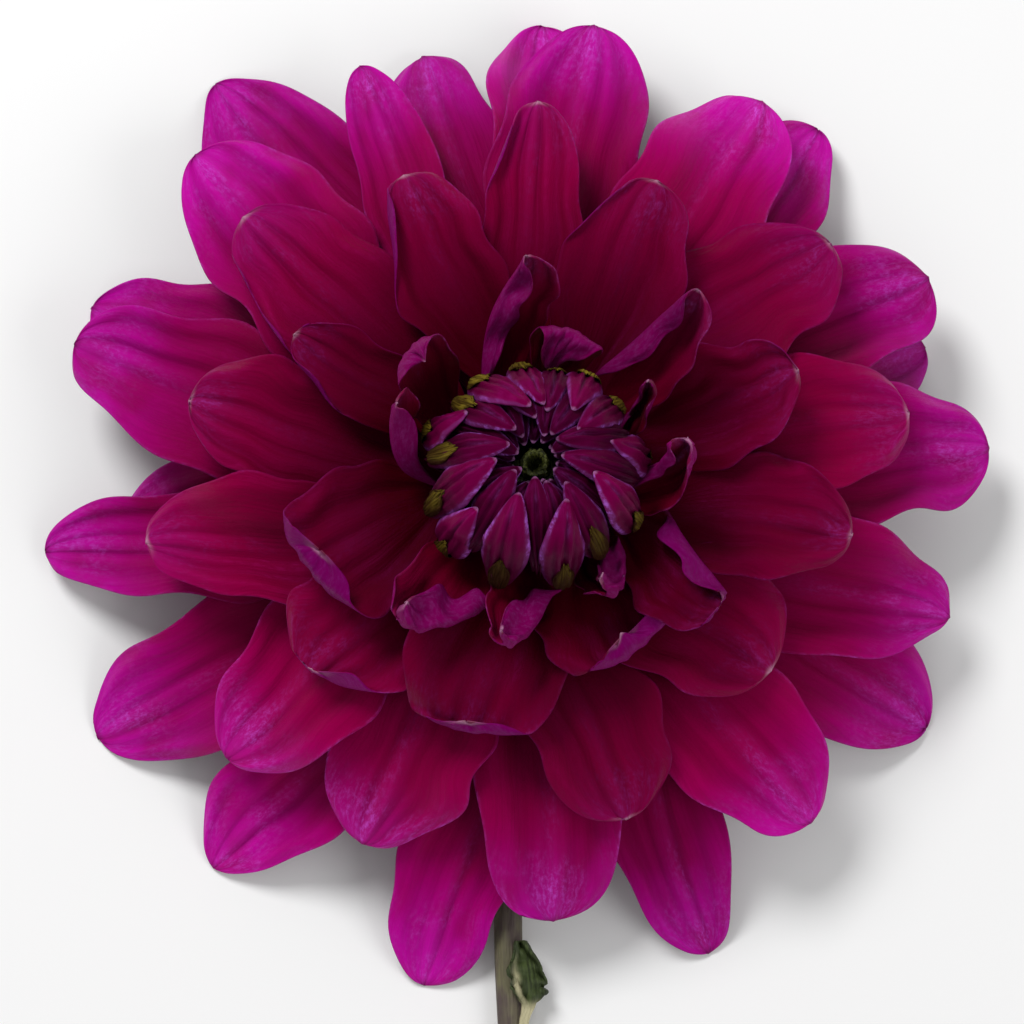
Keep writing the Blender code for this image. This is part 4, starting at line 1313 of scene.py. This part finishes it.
class Tissue:
    """The node groups that the finishes share."""

    def __init__(self) -> None:
        """Make both groups."""
        self.petal = self.petal_group()
        self.green = self.green_group()

    @staticmethod
    def begin(name: str, colours: tuple[str, ...],
              numbers: tuple[str, ...]) -> tuple[Graph, bpy.types.Node, bpy.types.Node]:
        """Start a group with these inputs and the outputs Color, Roughness and Height."""
        group = bpy.data.node_groups.new(name, "ShaderNodeTree")
        for key in colours:
            group.interface.new_socket(key, in_out="INPUT", socket_type="NodeSocketColor")
        for key in numbers:
            group.interface.new_socket(key, in_out="INPUT", socket_type="NodeSocketFloat")
        group.interface.new_socket("Color", in_out="OUTPUT", socket_type="NodeSocketColor")
        for key in ("Roughness", "Height"):
            group.interface.new_socket(key, in_out="OUTPUT", socket_type="NodeSocketFloat")
        graph = Graph(group)
        return graph, graph.node("NodeGroupInput"), graph.node("NodeGroupOutput")

    def petal_group(self) -> bpy.types.NodeTree:
        """Petal tissue: darker towards the axis, partly its own colour and partly painted shade; frosted in
        flecks at tip and margins, with painted highlights on the midrib and the fold creases; painted shade in
        the grooves; veined along.
        """
        graph, given, made = self.begin("petal_tissue", ("Deep", "Body", "Glow", "Frost", "Nib", "Back"),
                                        ("Frosting",))
        veins = graph.step(graph.noise((2.2, 1.0, 0.08), 3.0), 0.35, 0.7)
        flecks = graph.step(graph.noise((2.0, 1.0, 0.9), 8.0, 0.8), 0.44, 0.66)
        patches = graph.step(graph.noise((0.30, 1.0, 0.13), 3.0), 0.36, 0.62)
        clouds = graph.noise((0.16, 1.0, 0.09), 2.0)
        grain = graph.noise((9.0, 9.0, 9.0), 2.0)
        outward = graph.mark("outward")
        along = graph.mark("along")
        # Darker towards the foot is the petals' own colour; darker towards the axis is partly their colour and
        # partly painted shade deep in the head.
        body = graph.math("MULTIPLY", graph.step(outward, 0.2, 0.72), graph.step(along, 0.2, 0.8, 0.25, 1.0))
        colour = graph.mix(body, given.outputs["Deep"], given.outputs["Body"])
        bright = graph.math("MULTIPLY", graph.step(outward, 0.6, 1.0), graph.step(along, 0.5, 1.0))
        bright = graph.math("MULTIPLY", bright, graph.step(clouds, 0.3, 0.6, 0.35, 1.0))
        colour = graph.mix(bright, colour, given.outputs["Glow"])
        colour = graph.mix(graph.math("MULTIPLY", veins, 0.12), colour, given.outputs["Deep"])
        # painted shade: the grooves' depth mixes the colour towards Deep
        colour = graph.mix(graph.math("MULTIPLY", graph.mark("crease"), 0.4), colour, given.outputs["Deep"])
        mottled = graph.math("MULTIPLY_ADD", graph.math("MULTIPLY", flecks, patches), 0.92, 0.08)
        frosted = graph.math("MULTIPLY", graph.mark("frost"), mottled)
        frosted = graph.math("MULTIPLY", frosted, given.outputs["Frosting"])
        colour = graph.mix(frosted, colour, given.outputs["Frost"])
        back = graph.mix(graph.math("MULTIPLY", flecks, 0.14), given.outputs["Back"], given.outputs["Frost"])
        colour = graph.mix(graph.mark("back"), colour, back)
        colour = graph.mix(graph.math("MULTIPLY", graph.mark("nib"), 0.8), colour, given.outputs["Nib"])
        toned = graph.node("ShaderNodeHueSaturation")
        graph.feed(toned.inputs["Value"], graph.step(graph.mark("tone"), 0.0, 1.0, 0.86, 1.14))
        graph.feed(toned.inputs["Color"], colour)
        graph.feed(made.inputs["Color"], toned.outputs["Color"])
        graph.feed(made.inputs["Roughness"], graph.step(frosted, 0.0, 1.0, 0.42, 0.62))
        height = graph.math("MULTIPLY_ADD", veins, 0.4, graph.math("MULTIPLY", flecks, 0.25))
        graph.feed(made.inputs["Height"], graph.math("MULTIPLY_ADD", grain, 0.12, height))
        return graph.tree

    def green_group(self) -> bpy.types.NodeTree:
        """Green tissue: two colours in soft clouds, darker streaks along, and a third colour by tone, which on
        the chaff is painted shade.
        """
        graph, given, made = self.begin("green_tissue", ("First", "Second", "Dark", "Pale"), ("Streaks",))
        streaks = graph.step(graph.noise((3.2, 3.2, 0.22), 4.0), 0.42, 0.64)
        clouds = graph.step(graph.noise((0.35, 0.35, 0.16), 3.0), 0.35, 0.65)
        grain = graph.noise((7.0, 7.0, 7.0), 3.0)
        colour = graph.mix(clouds, given.outputs["First"], given.outputs["Second"])
        share = graph.math("MULTIPLY", streaks, given.outputs["Streaks"])
        colour = graph.mix(share, colour, given.outputs["Dark"])
        colour = graph.mix(graph.mark("tone"), colour, given.outputs["Pale"])
        graph.feed(made.inputs["Color"], colour)
        graph.feed(made.inputs["Roughness"], graph.step(clouds, 0.0, 1.0, 0.48, 0.66))
        height = graph.math("MULTIPLY_ADD", streaks, -0.5, 0.7)
        graph.feed(made.inputs["Height"], graph.math("MULTIPLY_ADD", grain, 0.25, height))
        return graph.tree


@dataclass(frozen=True)
class Finish:
    """One material: a tissue group with its colours, and how it takes light."""

    name: str
    colours: dict[str, Colour]
    numbers: dict[str, float]
    specular: float
    bump: float
    specular_tint: Colour = (255, 255, 255)
    sheen: float = 0.0
    sheen_tint: Colour = (255, 255, 255)
    sheen_roughness: float = 0.45

    def material(self, group: bpy.types.NodeTree) -> bpy.types.Material:
        """Make the material from a tissue group."""
        material = bpy.data.materials.new(self.name)
        material.use_nodes = True
        graph = Graph(material.node_tree)
        tissue = graph.node("ShaderNodeGroup", node_tree=group)
        for key, colour in self.colours.items():
            tissue.inputs[key].default_value = linear(colour)
        for key, number in self.numbers.items():
            tissue.inputs[key].default_value = number
        bump = graph.node("ShaderNodeBump")
        bump.inputs["Distance"].default_value = self.bump * MM
        graph.feed(bump.inputs["Height"], tissue.outputs["Height"])
        shader = graph.node("ShaderNodeBsdfPrincipled")
        shader.inputs["Specular IOR Level"].default_value = self.specular
        shader.inputs["Specular Tint"].default_value = linear(self.specular_tint)
        shader.inputs["Sheen Weight"].default_value = self.sheen
        shader.inputs["Sheen Tint"].default_value = linear(self.sheen_tint)
        shader.inputs["Sheen Roughness"].default_value = self.sheen_roughness
        graph.feed(shader.inputs["Base Color"], tissue.outputs["Color"])
        graph.feed(shader.inputs["Roughness"], tissue.outputs["Roughness"])
        graph.feed(shader.inputs["Normal"], bump.outputs["Normal"])
        output = graph.node("ShaderNodeOutputMaterial")
        graph.feed(output.inputs["Surface"], shader.outputs["BSDF"])
        return material


SATIN = (226, 44, 196)
OUTER_FINISH = Finish(
    "outer petal", {"Deep": (80, 0, 20), "Body": (142, 0, 68), "Glow": (192, 0, 156),
                    "Frost": (200, 84, 208), "Nib": (120, 30, 90), "Back": (120, 4, 94)},
    {"Frosting": 0.75}, specular=0.14, bump=0.08, specular_tint=SATIN, sheen=0.02, sheen_tint=SATIN)
MIDDLE_FINISH = Finish(
    "middle petal", {"Deep": (66, 0, 16), "Body": (128, 0, 56), "Glow": (156, 0, 108),
                     "Frost": (164, 66, 168), "Nib": (190, 140, 164), "Back": (112, 6, 84)},
    {"Frosting": 0.4}, specular=0.14, bump=0.08, specular_tint=SATIN, sheen=0.02, sheen_tint=SATIN)
INNER_FINISH = Finish(
    "inner petal", {"Deep": (92, 0, 30), "Body": (144, 0, 76), "Glow": (160, 8, 116),
                    "Frost": (176, 92, 184), "Nib": (190, 140, 170), "Back": (112, 2, 76)},
    {"Frosting": 0.55}, specular=0.14, bump=0.08, specular_tint=SATIN, sheen=0.02, sheen_tint=SATIN)
# Deep and Back are near black: painted shade at the florets' feet and on their hidden sides in the gaps between
# them.
FLORET_FINISH = Finish(
    "closed floret", {"Deep": (30, 0, 16), "Body": (116, 0, 66), "Glow": (140, 10, 96),
                      "Frost": (168, 96, 200), "Nib": (180, 120, 176), "Back": (26, 0, 14)},
    {"Frosting": 0.8}, specular=0.2, bump=0.06, specular_tint=SATIN, sheen=0.02, sheen_tint=SATIN)
# Pale is a dark brown here: the painted shade of the chaff.
CHAFF_FINISH = Finish(
    "chaff", {"First": (140, 124, 44), "Second": (104, 86, 30), "Dark": (44, 28, 14), "Pale": (48, 28, 14)},
    {"Streaks": 0.85}, specular=0.06, bump=0.15)
PIT_FINISH = Finish(
    "pit", {"First": (92, 96, 46), "Second": (44, 46, 18), "Dark": (10, 10, 4), "Pale": (40, 44, 18)},
    {"Streaks": 0.9}, specular=0.2, bump=0.15)
RECEPTACLE_FINISH = Finish(
    "receptacle", {"First": (128, 140, 88), "Second": (150, 158, 104), "Dark": (90, 100, 60),
                   "Pale": (150, 160, 110)},
    {"Streaks": 0.3}, specular=0.3, bump=0.1)
CALYX_FINISH = Finish(
    "calyx", {"First": (84, 108, 52), "Second": (104, 122, 62), "Dark": (58, 72, 36), "Pale": (128, 138, 84)},
    {"Streaks": 0.5}, specular=0.35, bump=0.1)
STEM_FINISH = Finish(
    "stem", {"First": (112, 108, 82), "Second": (88, 76, 74), "Dark": (66, 56, 52), "Pale": (176, 170, 120)},
    {"Streaks": 0.2}, specular=0.3, bump=0.12)
LEAF_FINISH = Finish(
    "leaf", {"First": (50, 60, 34), "Second": (72, 84, 48), "Dark": (24, 30, 16), "Pale": (196, 188, 150)},
    {"Streaks": 0.6}, specular=0.3, bump=0.2)


@dataclass(frozen=True)
class Lamp:
    """A round soft lamp: its bearing and height round the head, its width in metres and its power."""

    name: str
    bearing: float
    height: float
    width: float
    power: float


@dataclass
class Studio:
    """A pale floor, soft lamps and the photograph's camera."""

    head: Head
    floor_size: float = 6.0
    floor_colour: Colour = (248, 248, 248)
    world_strength: float = 0.4
    elevation: float = 81.5
    distance: float = 640.0
    target: tuple[float, float, float] = (-2.8, -3.1, 20.0)
    lens: float = 180.0
    sensor: float = 36.0
    lamps: tuple[Lamp, ...] = (Lamp("key", 125.0, 50.0, 0.36, 4.8), Lamp("fill", 330.0, 42.0, 0.5, 1.7))
    lamp_distance: float = 0.85

    def floor(self) -> None:
        """Plain matt floor at the height that the flower lies on."""
        half = 0.5 * self.floor_size
        corners = [(-half, -half, 0.0), (half, -half, 0.0), (half, half, 0.0), (-half, half, 0.0)]
        mesh = bpy.data.meshes.new("floor")
        mesh.from_pydata(corners, [], [(0, 1, 2, 3)])
        material = bpy.data.materials.new("floor")
        material.use_nodes = True
        shader = material.node_tree.nodes["Principled BSDF"]
        shader.inputs["Base Color"].default_value = linear(self.floor_colour)
        shader.inputs["Roughness"].default_value = 0.9
        shader.inputs["Specular IOR Level"].default_value = 0.1
        mesh.materials.append(material)
        floor = bpy.data.objects.new("floor", mesh)
        bpy.context.scene.collection.objects.link(floor)

    def aim(self, item: bpy.types.Object, place: Vector, target: Vector) -> None:
        """Put an object at a place so that it looks at a target."""
        item.location = place
        item.rotation_euler = (target - place).to_track_quat("-Z", "Y").to_euler()
        bpy.context.scene.collection.objects.link(item)

    def light(self) -> None:
        """Large soft lamps above to either side, and an even pale sky."""
        middle = Vector(self.head.in_frame(np.array([0.0, 0.0, 20.0])))
        for lamp in self.lamps:
            data = bpy.data.lights.new(lamp.name, "AREA")
            data.shape = "DISK"
            data.size = lamp.width
            data.energy = lamp.power
            turn = math.radians(lamp.bearing)
            tilt = math.radians(lamp.height)
            way = Vector((math.cos(turn) * math.cos(tilt), math.sin(turn) * math.cos(tilt), math.sin(tilt)))
            self.aim(bpy.data.objects.new(lamp.name, data), middle + self.lamp_distance * way, middle)
        world = bpy.data.worlds.new("studio")
        world.use_nodes = True
        sky = world.node_tree.nodes["Background"]
        sky.inputs["Color"].default_value = (1.0, 1.0, 1.0, 1.0)
        sky.inputs["Strength"].default_value = self.world_strength
        bpy.context.scene.world = world

    def camera(self) -> None:
        """The photograph's camera: nearly straight down on the head, from the stem's side."""
        data = bpy.data.cameras.new("camera")
        data.lens = self.lens
        data.sensor_width = self.sensor
        camera = bpy.data.objects.new("camera", data)
        tilt = math.radians(self.elevation)
        back = self.distance * MM * Vector((0.0, -math.cos(tilt), math.sin(tilt)))
        target = Vector(self.head.in_frame(np.array(self.target)))
        self.aim(camera, target + back, target)
        bpy.context.scene.camera = camera

    def build(self) -> None:
        """Make the floor, the lamps and the camera."""
        self.floor()
        self.light()
        self.camera()
        bpy.context.scene.view_settings.view_transform = "Standard"


def main() -> None:
    """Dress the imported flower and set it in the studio."""
    logging.basicConfig(level=logging.INFO, format="%(name)s: %(message)s")
    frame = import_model()
    LOG.info("%d CAD nodes", len(frame["nodes"]))
    head = Head.of_frame()
    tissue = Tissue()
    petals = {Row.OUTER: OUTER_FINISH, Row.MIDDLE: MIDDLE_FINISH, Row.INNER: INNER_FINISH}
    Corolla(head).build({row: finish.material(tissue.petal) for row, finish in petals.items()})
    Button(head).build(FLORET_FINISH.material(tissue.petal), CHAFF_FINISH.material(tissue.green),
                       PIT_FINISH.material(tissue.green))
    Base(head).build(RECEPTACLE_FINISH.material(tissue.green), CALYX_FINISH.material(tissue.green))
    Stem(head).build(STEM_FINISH.material(tissue.green), LEAF_FINISH.material(tissue.green))
    Studio(head).build()


if __name__ == "__main__":
    main()
